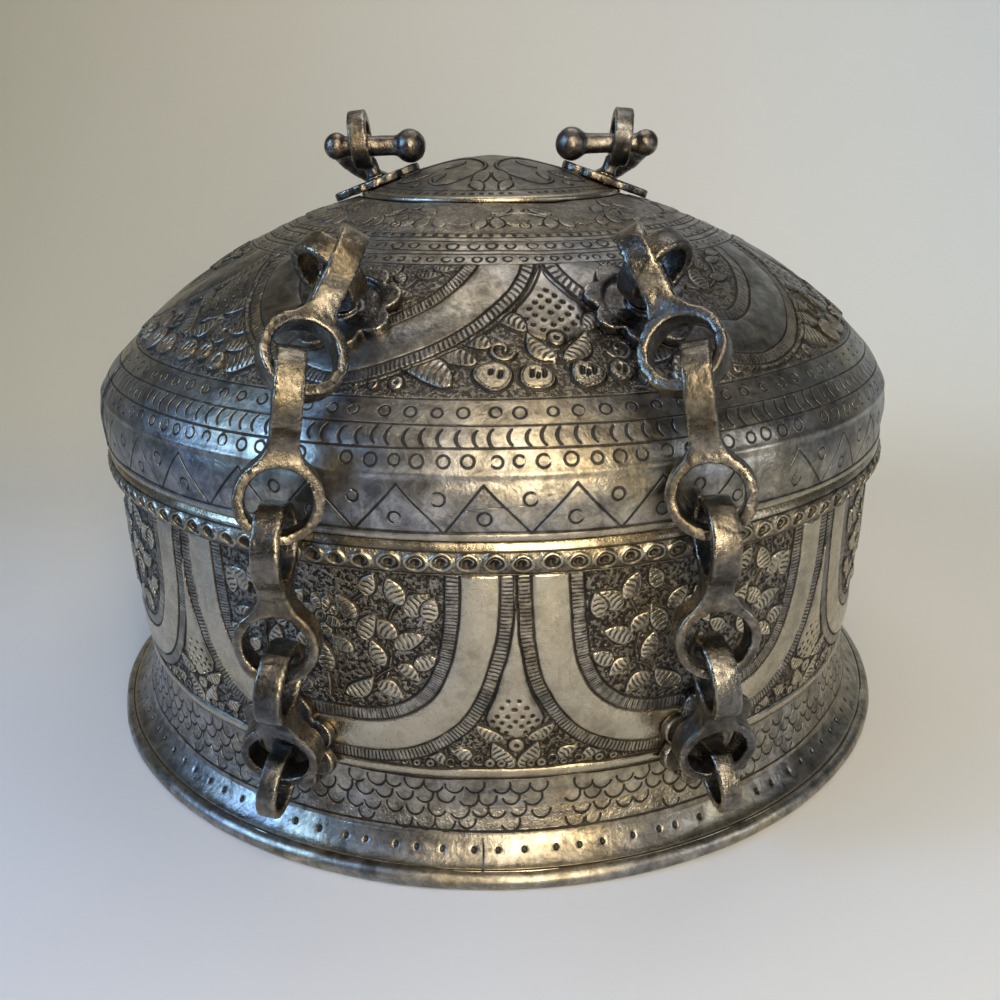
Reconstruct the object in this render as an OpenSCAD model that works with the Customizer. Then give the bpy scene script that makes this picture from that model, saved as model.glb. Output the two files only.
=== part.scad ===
// Paan box: a round metal betel box with a domed lid, two tether chains and a swing handle.
// Millimetres. +Z is up, the floor is z = 0, and the chains hang on the front, towards -Y.

/* [Bowl] */
// Outer radius of the bowl at its belly
bowl_r = 129.4; // [120:0.1:140]
// Height of the bowl's rim above the floor
bowl_h = 99; // [94:0.5:112]
// How far the waist is drawn in from the belly
waist_in = 2.6; // [0.5:0.1:5]
// Height of the waist above the floor
waist_z = 28; // [20:0.5:40]
// Thickness of the beaten sheet
sheet_t = 1.8; // [1.2:0.1:2.2]
// Height of the straight neck between the belly and the band
neck_h = 4.6; // [2:0.1:12]

/* [Foot] */
// Height at which the flared foot starts
foot_h = 10.7; // [8.5:0.1:15]
// How far the wall flares out again above the foot
foot_lip = 0.8; // [0.2:0.1:2]
// How far the foot reaches out to the centre of its rolled edge
foot_reach = 6.7; // [5:0.1:12]
// Radius of the rolled edge on the floor
bead_r = 2.6; // [1.8:0.1:3.2]
// How much of the rolled edge is worn flat on the floor
bead_flat = 0.3; // [0.1:0.05:0.6]

/* [Eye band] */
// Height of the proud band round the mouth
band_h = 9.4; // [6:0.1:14]
// How far the band's edges stand out
band_edge = 1.2; // [0.8:0.1:2]
// How far the band bulges beyond its edges
band_bulge = 2.2; // [0.5:0.1:4]

/* [Inner collar] */
// Thickness of the collar that the lid fits over
collar_t = 1.6; // [1:0.1:2.5]
// How far the collar reaches down inside the bowl
collar_down = 14; // [8:0.5:20]
// How far the collar stands above the bowl's rim
collar_up = 6.5; // [3:0.5:10]

/* [Lid] */
// Gap between the bowl's rim and the closed lid
lid_gap = 0.3; // [0.2:0.05:0.6]
// How far the lid's mouth overhangs the bowl's radius
lid_over = 2.7; // [2.2:0.1:4]
// Height of the lid's straight side
lid_side_h = 9.7; // [6:0.1:16]
// How far the lid's side leans out to the shoulder
lid_lean = 0.8; // [0:0.1:2]
// Radius of the shoulder's curve
shoulder_r = 22.1; // [16:0.1:28]
// Sweep of the shoulder's curve, degrees
shoulder_deg = 44; // [38:1:50]
// Radius of the dome's curve
dome_r = 170.5; // [150:0.5:200]
// Height of the hem inside the lid's mouth
hem_h = 4; // [2:0.5:6]
// Clearance between the collar and the hem
hem_gap = 0.8; // [0.5:0.1:1.2]

/* [Top disc] */
// Radius of the raised disc on the lid
disc_r = 43.5; // [38:0.5:50]
// How high the disc's crown stands above the dome
disc_rise = 8.1; // [5:0.1:12]
// How high the disc's edge stands above the dome
disc_edge = 0.93; // [0.6:0.01:2]
// Thickness of the disc's sheet
disc_t = 1.3; // [0.8:0.1:1.8]

/* [Handle lugs] */
// Distance of the handle rings from the middle
hring_x = 43.3; // [40:0.1:46]
// Outer radius of the handle rings
hring_ro = 9.2; // [8.2:0.1:10]
// Inner radius of the handle rings
hring_ri = 5.8; // [5.6:0.1:6.2]
// Width of the handle rings
hring_w = 6; // [5:0.1:6.2]
// Length of the neck between plate and ring
hneck_l = 3.8; // [2:0.1:5]
// Distance from the middle at which the lugs' plates touch the disc
touch_r = 33.7; // [30:0.1:37]
// Lean of the handle rings, degrees
hring_lean = 6; // [0:0.5:10]
// Thickness of the handle lugs' plates
hplate_t = 2.5; // [1.5:0.1:3.5]
// Half length of the handle lugs' plates
hplate_l = 15.2; // [13:0.1:17]

/* [Handle] */
// Radius of the handle's shafts
shaft_r = 3.2; // [2.6:0.1:3.3]
// Radius of the balls on the shafts' inner ends
ball_r = 5.4; // [5:0.1:6.5]
// Distance of the balls from the middle
ball_x = 27; // [24:0.1:30]
// Radius of the elbows outside the rings
elbow_r = 4.4; // [4:0.1:5.2]
// Half width of the bail
bail_w = 51.4; // [51:0.1:54]
// Radius of the bail's bar
bail_r = 3.1; // [2.6:0.1:3.4]
// Radius of the bail's side curves
bail_side_r = 96; // [80:1:120]
// Sweep of the bail's side curves, degrees
bail_side_deg = 45; // [40:1:50]

/* [Lugs] */
// Radius of the lug shanks
shank_r = 2.5; // [2:0.1:3]
// Reach of the rosettes' lobes
rosette_r = 15.7; // [13:0.1:17]
// Radius of one lobe of a rosette
lobe_r = 4.4; // [3.5:0.1:5]
// Lobes on a rosette
lobes = 8; // [6:1:10]
// Thickness of the rosettes
rosette_t = 2.8; // [2:0.1:3.5]
// Bearing of the bowl's rosettes from the front, degrees
bowl_lug_deg = 26.5; // [24:0.5:29]
// Height of the bowl's rosettes above the floor
bowl_lug_z = 34.5; // [31:0.5:38]
// Inner radius of the bowl's rings
bring_ri = 7.27; // [7:0.01:7.4]
// Thickness of the bowl's rings
bring_t = 2.5; // [2.2:0.1:3]
// Width of the bowl's rings
bring_w = 5.4; // [5:0.1:6.2]
// How far the bowl's rings stand off the rosettes
bring_out = 14.8; // [14:0.1:16]
// How far the bowl's rings hang below the rosettes
bring_drop = 6.6; // [5:0.1:8]
// Bearing of the lid's rosettes from the front, degrees
lid_lug_deg = 22.9; // [21:0.1:26]
// Slope of the dome at the lid's rosettes, degrees from upright
lid_lug_slope = 56.4; // [54:0.2:59]
// Inner radius of the lid's rings
lring_ri = 7.6; // [7.2:0.1:7.8]
// Thickness of the lid's rings
lring_t = 2.7; // [2.4:0.1:3]
// Width of the lid's rings
lring_w = 6.6; // [5.6:0.1:7]
// Height of the lid's rings above the dome
lring_h = 13.7; // [13.6:0.1:15]
// Twist of the lid's rings about their shanks, degrees
lring_twist = 19; // [15:1:25]

/* [Chains] */
// Outer radius of the links' eyes
eye_ro = 10.8; // [10.2:0.1:11.2]
// Inner radius of the links' eyes
eye_ri = 8; // [7.8:0.1:8.4]
// Width of the links' band
link_w = 7; // [6:0.1:7.2]
// Radius of the fillets between band and eyes
link_fillet = 9; // [7:0.5:11]

/* [Tray] */
// How far below the collar the ledge for the tray lies
ledge_below = 7; // [4:0.5:12]
// Height of the ledge's skirt on the wall
ledge_skirt = 9; // [6:0.5:12]
// How far the ledge reaches in from the wall
ledge_in = 10; // [9:0.5:14]
// Clearance between the tray and the collar
tray_gap = 5.15; // [4:0.05:7]
// Height of the tray's wall
tray_h = 18; // [14:0.5:20]
// Thickness of the tray's sheet
tray_t = 1.2; // [0.8:0.1:1.8]
// Outer radius of the tray's cups
cup_r = 26; // [20:0.5:32]
// Height of the tray's cups
cup_h = 24; // [15:0.5:32]
// How far the cups stand in from the tray's edge
cup_gap = 24.8; // [4:0.1:30]
// Height of the tray's lifting ring above its floor
grip_h = 44; // [36:0.5:56]
// Outer radius of the tray's lifting ring
grip_r = 11; // [9:0.5:13]

/* [Hidden] */

fit = 0.05;                       // seat between two pieces that are fixed together
hole_gap = 0.1;                   // clearance round a rivet or shank
run_gap = 0.3;                    // clearance between curved faces of moving pieces
burr_r = 5.5;
burr_t = 1.2;
head_r = 3.9;
head_t = 0.9;
tin = [0.50, 0.49, 0.46];
warm = [0.56, 0.50, 0.38];
pale = [0.66, 0.64, 0.60];

// Bowl
belly_z = bowl_h - band_h - neck_h;
foot_r0 = bowl_r + foot_lip;
bead_x = foot_r0 + foot_reach;
bead_z = bead_r - bead_flat;
foot_fall = foot_h - bead_z - bead_r - fit;
function up(z) = min(1, (z - waist_z) / (belly_z - waist_z));
function down(z) = (waist_z - z) / (waist_z - foot_h);
function wall_r(z) = z >= waist_z
  ? bowl_r - waist_in * pow(1 - up(z), 2.2)
  : bowl_r - waist_in + (waist_in + foot_lip) * pow(down(z), 2);
wall_zs = concat([for (i = [0:4]) foot_h + (waist_z - foot_h) * i / 5],
  [for (i = [0:9]) waist_z + (belly_z - waist_z) * i / 9], [bowl_h]);
collar_r = bowl_r - sheet_t - fit;

// Lid
lid_z = bowl_h + lid_gap;
lid_r = bowl_r + lid_over;
shoulder_c = [lid_r + lid_lean - shoulder_r, lid_z + lid_side_h];
dome_c = shoulder_c - (dome_r - shoulder_r) * [cos(shoulder_deg), sin(shoulder_deg)];
function arc(c, r, a0, a1, n) = [for (i = [0:n]) let (a = a0 + (a1 - a0) * i / n) c + r * [cos(a), sin(a)]];
function dome_z(r) = dome_c[1] + sqrt(dome_r * dome_r - pow(max(r - dome_c[0], 0), 2));
function lid_line(t) = concat([[lid_r - t, lid_z], [lid_r + lid_lean - t, lid_z + lid_side_h - 2]],
  arc(shoulder_c, shoulder_r - t, 0, shoulder_deg, 8),
  [for (p = arc(dome_c, dome_r - t, shoulder_deg, 90, 14)) if (p[0] > 0.5) p],
  [[0, dome_z(0) - t]]);

// Top disc
disc_top = dome_z(0) + disc_rise;
disc_drop = disc_top - disc_edge - dome_z(disc_r);
function disc_z(r) = disc_top - disc_drop * pow(r / disc_r, 1.5);
function disc_under(r) = max(disc_z(r) - disc_t, dome_z(r) + fit);
function disc_slope(r) = disc_drop * 1.5 * sqrt(r / disc_r) / disc_r;

// Handle lugs: a plate laid on the disc, leaning outward, and a steeper ring on a neck
hlug_lean = atan(disc_slope(touch_r));
hn = [sin(hlug_lean), cos(hlug_lean)];
ht = [cos(hlug_lean), -sin(hlug_lean)];
plate_pt = [touch_r, disc_z(touch_r)] + hn * 0.15;
ring_rise = hplate_t + hneck_l + hring_ro;
along = (hring_x - plate_pt[0] - ring_rise * hn[0]) / ht[0];
plate_mid = plate_pt + ht * along;
hring_c = plate_mid + hn * ring_rise;
hring_play = hring_ri - run_gap - shaft_r / cos(hring_lean) - hring_w / 2 * tan(hring_lean);
axis_z = hring_c[1] - hring_play / cos(hring_lean);

// Bail, folded back on the dome
bail_mid = (bail_side_r - bail_w) / cos(bail_side_deg);
bail_top_r = bail_side_r - bail_mid;
bail_top_y = bail_mid * sin(bail_side_deg);
bail_l = bail_top_y + bail_top_r;
bail_up = axis_z - dome_c[1];
bail_k = (bail_l * bail_l + pow(dome_c[0], 2) + bail_up * bail_up
  - pow(dome_r + bail_r + run_gap, 2)) / (2 * bail_l);
bail_dip = asin(bail_k / norm([dome_c[0], bail_up])) - atan2(dome_c[0], bail_up);

// Lugs of the chains, on the right side
lid_lug_p = dome_c + dome_r * [cos(lid_lug_slope), sin(lid_lug_slope)];
bowl_lug_R = max(wall_r(bowl_lug_z + rosette_r), wall_r(bowl_lug_z - rosette_r)) + fit;
function bowl_lug_at(d) = [sin(bowl_lug_deg) * (bowl_lug_R + d), -cos(bowl_lug_deg) * (bowl_lug_R + d), bowl_lug_z];
lring_R = lid_lug_p[0] + lring_h * cos(lid_lug_slope);
lring_c = [lring_R * sin(lid_lug_deg), -lring_R * cos(lid_lug_deg), lid_lug_p[1] + lring_h * sin(lid_lug_slope)];
bring_c = bowl_lug_at(bring_out) + [-4.47, 0.58, 0.53 - bring_drop];

// Chain on the right side: each link's lean outward, sideways tilt, roll and slack
link_lean = [44.75, 7.89, 0.45, -15.48];
link_tilt = [16, 8, 3, 6];
link_roll = [25.8, 12.5, -3.2, -9.6];
link_slack = [9.68, 11.30, 11.30, 10.78];
first_c = lring_c + [-3.32, -6.92, 1.33];
last_c = bring_c + [-0.74, 3.49, -1.01];
function dir(i, e) = [-sin(link_lean[i]) * cos(link_tilt[i] + e), -cos(link_lean[i]) * cos(link_tilt[i] + e)];
function sum2(v, i = 0) = i == len(v) ? [0, 0] : v[i] + sum2(v, i + 1);
function sum1(v, i = 0) = i == len(v) ? 0 : v[i] + sum1(v, i + 1);
function reach(e) = sum2([for (i = [0:3]) dir(i, e)]);
function slack(e) = sum2([for (i = [0:3]) link_slack[i] * dir(i, e)]);
span = [last_c[1] - first_c[1], last_c[2] - first_c[2]];
function link_len(e) = let (p = reach(e), q = slack(e), a = p * p, b = p * q, c = q * q - span * span)
  (-b + sqrt(b * b - a * c)) / a;
function sideways(c, e) = sum1([for (i = [0:3]) (c + link_slack[i]) * sin(link_tilt[i] + e)]);
function length_of(c) = sum1([for (i = [0:3]) c + link_slack[i]]);
function tilt_fix(e) = e + (last_c[0] - first_c[0] - sideways(link_len(e), e)) / length_of(link_len(e)) * 180 / PI;
tilt_all = tilt_fix(tilt_fix(0));
link_c = link_len(tilt_all);
chain_v = link_c * reach(tilt_all) + slack(tilt_all);
lean_all = atan2(span[0], -span[1]) - atan2(chain_v[0], -chain_v[1]);
function lean(i) = link_lean[i] - lean_all;
function tilt(i) = link_tilt[i] + tilt_all;
function along_link(i) = [sin(tilt(i)), -sin(lean(i)) * cos(tilt(i)), -cos(lean(i)) * cos(tilt(i))];
function link_at(i) = i == 0 ? first_c : link_at(i - 1) + (link_c + link_slack[i - 1]) * along_link(i - 1);

// Tray
ledge_z = bowl_h - collar_down - ledge_below;
ledge_r = wall_r(ledge_z - ledge_skirt) - sheet_t - 0.1;
tray_z = ledge_z + 0.1;
tray_r = collar_r - collar_t - tray_gap;
cup_place = tray_r - cup_r - cup_gap;

module rod(p, q, r) {
  d = q - p;
  h = norm(d);
  translate(p) rotate([0, acos(d[2] / h), atan2(d[1], d[0])]) cylinder(h = h, r = r, $fn = 48);
}

module ring(ro, ri, w) {
  difference() {
    cylinder(h = w, r = ro, center = true, $fn = 72);
    cylinder(h = w + 2, r = ri, center = true, $fn = 72);
  }
}

module at_bowl_lug() rotate([0, 0, bowl_lug_deg]) translate([0, -bowl_lug_R, bowl_lug_z]) rotate([90, 0, 0]) children();
module at_lid_lug() rotate([0, 0, lid_lug_deg]) translate([0, -lid_lug_p[0], lid_lug_p[1]])
  rotate([90 - lid_lug_slope, 0, 0]) children();
module at_handle_lug() translate([plate_mid[0], 0, plate_mid[1]]) rotate([0, hlug_lean, 0]) children();
module both() for (m = [0, 1]) mirror([m, 0, 0]) children();

// Bowl
module bowl_wall() {
  color(tin) difference() {
    rotate_extrude($fn = 180) polygon(concat([for (z = wall_zs) [wall_r(z), z]],
      [for (i = [len(wall_zs) - 1:-1:0]) [wall_r(wall_zs[i]) - sheet_t, wall_zs[i]]]));
    both() at_bowl_lug() translate([0, 0, -8]) cylinder(h = 16, r = shank_r + hole_gap, $fn = 48);
  }
}

module foot_flange() {
  n = 8;
  top = [for (i = [0:n]) let (t = i / n) [foot_r0 + foot_reach * t, foot_h - foot_fall * (1 - pow(1 - t, 1.8))]];
  color(tin) rotate_extrude($fn = 180) difference() {
    polygon(concat([[foot_r0 - sheet_t, foot_h]], top,
      [for (i = [n:-1:0]) [top[i][0] - (i == 0 ? sheet_t : 0), top[i][1] - sheet_t * 1.3]]));
    translate([bead_x, bead_z]) circle(r = bead_r + fit, $fn = 40);
  }
}

module foot_rim_wire() {
  color(tin) rotate_extrude($fn = 180) intersection() {
    translate([bead_x, bead_z]) circle(r = bead_r, $fn = 40);
    translate([bead_x - 5, 0]) square([10, 12]);
  }
}

module bottom_plate() {
  color(tin) translate([0, 0, foot_h - sheet_t]) cylinder(h = sheet_t, r = foot_r0 - sheet_t - fit, $fn = 180);
}

module eye_band() {
  n = 8;
  z0 = bowl_h - 0.1 - band_h;
  color(warm) rotate_extrude($fn = 180) polygon(concat([[bowl_r + fit, z0]],
    [for (i = [0:n]) [bowl_r + band_edge + band_bulge * sin(180 * i / n), z0 + band_h * i / n]],
    [[bowl_r + fit, z0 + band_h]]));
}

module inner_collar() {
  color(tin) rotate_extrude($fn = 180)
    translate([collar_r - collar_t, bowl_h - collar_down]) square([collar_t, collar_down + collar_up]);
}

module tray_ledge() {
  color(tin) rotate_extrude($fn = 180) polygon([[ledge_r, ledge_z - ledge_skirt], [ledge_r, ledge_z],
    [ledge_r - ledge_in, ledge_z], [ledge_r - ledge_in, ledge_z - sheet_t], [ledge_r - sheet_t, ledge_z - sheet_t],
    [ledge_r - sheet_t, ledge_z - ledge_skirt]]);
}

// Lugs of the chains
module rosette() {
  difference() {
    linear_extrude(rosette_t) union() {
      circle(r = rosette_r - lobe_r * 0.7, $fn = 72);
      for (i = [0:lobes - 1]) rotate((i + 0.5) * 360 / lobes) translate([rosette_r - lobe_r, 0]) circle(r = lobe_r, $fn = 40);
    }
    translate([0, 0, rosette_t - 1.5]) difference() {
      cylinder(h = 3, r = rosette_r * 0.67, $fn = 72);
      translate([0, 0, -1]) cylinder(h = 5, r = shank_r + 1.6, $fn = 48);
    }
    translate([0, 0, -1]) cylinder(h = rosette_t + 2, r = shank_r + hole_gap, $fn = 48);
  }
}

module burr() {
  difference() {
    cylinder(h = burr_t, r = burr_r, $fn = 48);
    translate([0, 0, -1]) cylinder(h = burr_t + 2, r = shank_r + hole_gap, $fn = 48);
  }
}

// Shank along +Z from its peened head inside the sheet, up to height h
module shank(inside, h) {
  translate([0, 0, -inside - burr_t - 0.3]) cylinder(h = inside + burr_t + 0.3 + h, r = shank_r, $fn = 48);
  translate([0, 0, -inside - burr_t - 0.2 - head_t]) cylinder(h = head_t, r1 = head_r * 0.8, r2 = head_r, $fn = 48);
}

bowl_inside = bowl_lug_R - wall_r(bowl_lug_z) + sheet_t + 0.75;
lid_inside = sheet_t + 0.3;

module bowl_ring() {
  root = bowl_lug_at(rosette_t + shank_r * 1.04 + 0.35);
  gap = bring_c - root;
  back = bring_c - gap / norm(gap) * (bring_ri + bring_t * 0.5);
  color(warm) {
    at_bowl_lug() shank(bowl_inside, rosette_t + shank_r * 1.04 + 0.35);
    translate(root) sphere(r = shank_r * 1.04, $fn = 40);
    rod(root, back, shank_r);
    translate(bring_c) rotate([0, -9.1, 10.3]) rotate([0, 90, 0]) ring(bring_ri + bring_t, bring_ri, bring_w);
  }
}

module bowl_rosette() color(tin) at_bowl_lug() rosette();
module bowl_burr() color(warm) at_bowl_lug() translate([0, 0, -bowl_inside - burr_t]) burr();

module lid_ring() {
  color(warm) at_lid_lug() {
    shank(lid_inside, lring_h - lring_ri - lring_t * 0.4);
    translate([0, 0, rosette_t + 0.2]) cylinder(h = 1.2, r1 = shank_r * 1.5, r2 = shank_r, $fn = 48);
    translate([0, 0, lring_h]) rotate([0, 0, lring_twist]) rotate([90, 0, 0]) ring(lring_ri + lring_t, lring_ri, lring_w);
  }
}

module lid_rosette() color(tin) at_lid_lug() translate([0, 0, fit]) rosette();
module lid_burr() color(warm) at_lid_lug() translate([0, 0, -lid_inside - burr_t]) burr();

// Lid
module lid_shell() {
  inner = lid_line(sheet_t);
  color(tin) difference() {
    rotate_extrude($fn = 180) polygon(concat(lid_line(0), [for (i = [len(inner) - 1:-1:0]) inner[i]]));
    both() at_lid_lug() translate([0, 0, -8]) cylinder(h = 16, r = shank_r + hole_gap, $fn = 48);
    both() at_handle_lug() translate([0, 0, -16]) cylinder(h = 32, r = shank_r + hole_gap, $fn = 48);
  }
}

module lid_top_disc() {
  n = 14;
  rs = [for (i = [0:n]) disc_r * i / n];
  color(tin) difference() {
    rotate_extrude($fn = 120) polygon(concat([for (r = rs) [r, disc_z(r)]],
      [for (i = [n:-1:0]) [rs[i], disc_under(rs[i])]]));
    both() at_handle_lug() translate([0, 0, -16]) cylinder(h = 32, r = shank_r + hole_gap, $fn = 48);
  }
}

module lid_hem() {
  inner = collar_r + hem_gap;
  outer = lid_r - sheet_t - fit;
  color(tin) rotate_extrude($fn = 180) polygon([[inner, lid_z], [outer, lid_z],
    [outer + lid_lean * (hem_h / lid_side_h), lid_z + hem_h], [inner, lid_z + hem_h]]);
}

// Handle lugs
module handle_plate() {
  w = 12;
  color(tin) at_handle_lug() difference() {
    linear_extrude(hplate_t) union() {
      circle(r = 9.5, $fn = 60);
      for (a = [-1, 1]) translate([a * (hplate_l - 5.2), 0]) circle(r = 5.2, $fn = 48);
      for (a = [45:90:315]) rotate(a) translate([w - 5.4, 0]) circle(r = 4.6, $fn = 40);
    }
    translate([0, 0, -1]) cylinder(h = hplate_t + 2, r = shank_r + hole_gap, $fn = 48);
  }
}

under_p = plate_mid - dome_c;
under_n = under_p * hn;
handle_inside = under_n - sqrt(under_n * under_n - under_p * under_p + pow(dome_r - sheet_t, 2))
  + burr_r * tan(hlug_lean - asin(under_p[0] / dome_r)) + 0.3;

module handle_ring() {
  color(warm) at_handle_lug() {
    shank(handle_inside, hplate_t + hneck_l + hring_ro - hring_ri - 1);
    translate([0, 0, hplate_t + 0.1]) cylinder(h = 1.2, r1 = shank_r * 1.7, r2 = shank_r, $fn = 48);
    translate([0, 0, ring_rise]) rotate([0, 90 - hlug_lean + hring_lean, 0]) ring(hring_ro, hring_ri, hring_w);
  }
}

module handle_burr() color(warm) at_handle_lug() translate([0, 0, -handle_inside - burr_t]) burr();

// Handle
module bail_handle() {
  color(warm) translate([0, 0, axis_z]) {
    both() {
      rotate([0, 90, 0]) translate([0, 0, ball_x]) cylinder(h = bail_w - ball_x, r = shaft_r, $fn = 48);
      translate([ball_x, 0, 0]) sphere(r = ball_r, $fn = 60);
      translate([bail_w, 0, 0]) sphere(r = elbow_r, $fn = 60);
    }
    rotate([-bail_dip, 0, 0]) {
      both() translate([bail_w - bail_side_r, 0, 0]) rotate_extrude(angle = bail_side_deg, $fn = 96)
        translate([bail_side_r, 0]) circle(r = bail_r, $fn = 40);
      translate([0, bail_top_y, 0]) rotate([0, 0, bail_side_deg]) rotate_extrude(angle = 180 - 2 * bail_side_deg, $fn = 96)
        translate([bail_top_r, 0]) circle(r = bail_r, $fn = 40);
    }
  }
}

// Chains
// Outline of one eye at the origin with its band along +Y
module eye_outline(len) {
  f = link_fillet;
  h = sqrt(pow(eye_ro + f, 2) - pow(link_w / 2 + f, 2));
  tx = (link_w / 2 + f) * eye_ro / (eye_ro + f);
  ty = h * eye_ro / (eye_ro + f);
  circle(r = eye_ro, $fn = 72);
  translate([-link_w / 2, 0]) square([link_w, len]);
  difference() {
    polygon([[-tx, ty], [tx, ty], [link_w / 2, h], [-link_w / 2, h]]);
    for (s = [-1, 1]) translate([s * (link_w / 2 + f), h]) circle(r = f, $fn = 72);
  }
}

// Link: upper eye at the origin about X, band down along -Z, lower eye about Y
module link_body(c) {
  difference() {
    intersection() {
      translate([0, 0, -c]) rotate([90, 0, 0]) linear_extrude(4 * eye_ro, center = true) eye_outline(c + eye_ro);
      rotate([0, 0, 90]) rotate([-90, 0, 0]) linear_extrude(4 * eye_ro, center = true) eye_outline(c + eye_ro);
    }
    rotate([0, 90, 0]) cylinder(h = 4 * eye_ro, r = eye_ri, center = true, $fn = 72);
    translate([0, 0, -c]) rotate([90, 0, 0]) cylinder(h = 4 * eye_ro, r = eye_ri, center = true, $fn = 72);
  }
}

module chain_link(i) {
  color(warm) translate(link_at(i)) rotate([-lean(i), 0, 0]) rotate([0, -tilt(i), 0]) rotate([0, 0, -link_roll[i]])
    link_body(link_c);
}

// Tray
module leaf_tray() {
  color(pale) difference() {
    rotate_extrude($fn = 180) polygon([[0, tray_z], [tray_r - 1, tray_z], [tray_r, tray_z + 1],
      [tray_r, tray_z + tray_h], [tray_r - 2.2, tray_z + tray_h], [tray_r - 2.2, tray_z + tray_h - 1],
      [tray_r - tray_t, tray_z + tray_h - 2], [tray_r - tray_t, tray_z + tray_t], [0, tray_z + tray_t]]);
    translate([0, 0, tray_z - 1]) cylinder(h = 4, r = shank_r + hole_gap, $fn = 48);
  }
}

module cup() {
  color(pale) translate([0, 0, tray_z + tray_t + fit]) rotate_extrude($fn = 96) polygon([[0, 0],
    [cup_r - 3, 0], [cup_r - 1, 2], [cup_r, cup_h - 1], [cup_r + 1, cup_h], [cup_r - tray_t, cup_h],
    [cup_r - tray_t - 1, 2.6], [cup_r - 4, tray_t], [0, tray_t]]);
}

module tray_grip() {
  z0 = tray_z + tray_t + fit;
  color(warm) {
    translate([0, 0, z0]) cylinder(h = shank_r * 0.8, r = shank_r * 2.8, $fn = 60);
    translate([0, 0, tray_z - 1.1]) cylinder(h = grip_h - grip_r + 4, r = shank_r, $fn = 48);
    translate([0, 0, tray_z - 1.1]) cylinder(h = 1, r = head_r, $fn = 48);
    translate([0, 0, z0 + grip_h]) rotate([0, 90, 0]) ring(grip_r, grip_r - 3, shank_r * 2);
  }
}

bowl_wall();
foot_flange();
foot_rim_wire();
bottom_plate();
eye_band();
inner_collar();
tray_ledge();
mirror([1, 0, 0]) bowl_ring();  // left_bowl_ring
bowl_ring();  // right_bowl_ring
mirror([1, 0, 0]) bowl_rosette();  // left_bowl_rosette
bowl_rosette();  // right_bowl_rosette
mirror([1, 0, 0]) bowl_burr();  // left_bowl_burr
bowl_burr();  // right_bowl_burr
lid_shell();
lid_top_disc();
lid_hem();
mirror([1, 0, 0]) lid_ring();  // left_lid_ring
lid_ring();  // right_lid_ring
mirror([1, 0, 0]) lid_rosette();  // left_lid_rosette
lid_rosette();  // right_lid_rosette
mirror([1, 0, 0]) lid_burr();  // left_lid_burr
lid_burr();  // right_lid_burr
mirror([1, 0, 0]) handle_ring();  // left_handle_ring
handle_ring();  // right_handle_ring
mirror([1, 0, 0]) handle_plate();  // left_handle_plate
handle_plate();  // right_handle_plate
mirror([1, 0, 0]) handle_burr();  // left_handle_burr
handle_burr();  // right_handle_burr
bail_handle();
mirror([1, 0, 0]) chain_link(0);  // left_link_1
mirror([1, 0, 0]) chain_link(1);  // left_link_2
mirror([1, 0, 0]) chain_link(2);  // left_link_3
mirror([1, 0, 0]) chain_link(3);  // left_link_4
chain_link(0);  // right_link_1
chain_link(1);  // right_link_2
chain_link(2);  // right_link_3
chain_link(3);  // right_link_4
leaf_tray();
translate([0, -cup_place, 0]) cup();  // front_cup
translate([0, cup_place, 0]) cup();  // back_cup
translate([-cup_place, 0, 0]) cup();  // left_cup
translate([cup_place, 0, 0]) cup();  // right_cup
tray_grip();
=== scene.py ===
# Looks of a round metal betel box: chased bowl and dome, forged chains and a swing handle.
# Lengths below are in millimetres unless they say otherwise; meshes are made in metres.
import math

import bpy
import numpy as np
from mathutils import Matrix, Vector


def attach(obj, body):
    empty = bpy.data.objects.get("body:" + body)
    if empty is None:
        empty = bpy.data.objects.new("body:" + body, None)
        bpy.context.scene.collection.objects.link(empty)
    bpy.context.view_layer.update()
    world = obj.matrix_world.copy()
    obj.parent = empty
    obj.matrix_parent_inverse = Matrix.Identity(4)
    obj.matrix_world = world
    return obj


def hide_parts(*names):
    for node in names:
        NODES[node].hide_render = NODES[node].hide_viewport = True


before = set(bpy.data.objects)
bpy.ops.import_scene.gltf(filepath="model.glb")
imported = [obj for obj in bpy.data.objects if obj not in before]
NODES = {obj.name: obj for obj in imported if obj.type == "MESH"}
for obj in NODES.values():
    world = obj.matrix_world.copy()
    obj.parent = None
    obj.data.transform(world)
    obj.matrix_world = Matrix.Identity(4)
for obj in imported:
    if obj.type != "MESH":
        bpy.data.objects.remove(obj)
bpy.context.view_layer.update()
MM = 0.001
TAU = 2 * math.pi


# Small tools
def smooth(e0, e1, x):
    t = np.clip((x - e0) / (e1 - e0), 0, 1)
    return t * t * (3 - 2 * t)


def bell(x, w):
    return np.exp(-(x / w) ** 2)


def hash01(i, j=0, k=0):
    """Repeatable numbers from 0 to 1 for whole-number places."""
    i = np.asarray(i).astype(np.int64)
    j = np.asarray(j).astype(np.int64)
    n = (i * 374761393 + j * 668265263 + int(k) * 2147483647 + 1013904223) & 0xFFFFFFFF
    n = ((n ^ (n >> 13)) * 1274126177) & 0xFFFFFFFF
    n = ((n ^ (n >> 16)) * 2246822519) & 0xFFFFFFFF
    return ((n ^ (n >> 15)) & 0xFFFFFF) / float(0xFFFFFF)


def drift(x, y, size, seed=0):
    """Smooth random field from -1 to 1 over a plane, with features of that size."""
    u = np.asarray(x) / size
    v = np.asarray(y) / size
    i = np.floor(u).astype(np.int64)
    j = np.floor(v).astype(np.int64)
    fu = u - i
    fv = v - j
    fu = fu * fu * (3 - 2 * fu)
    fv = fv * fv * (3 - 2 * fv)
    a = hash01(i, j, seed) * (1 - fu) + hash01(i + 1, j, seed) * fu
    b = hash01(i, j + 1, seed) * (1 - fu) + hash01(i + 1, j + 1, seed) * fu
    return (a * (1 - fv) + b * fv) * 2 - 1


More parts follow.
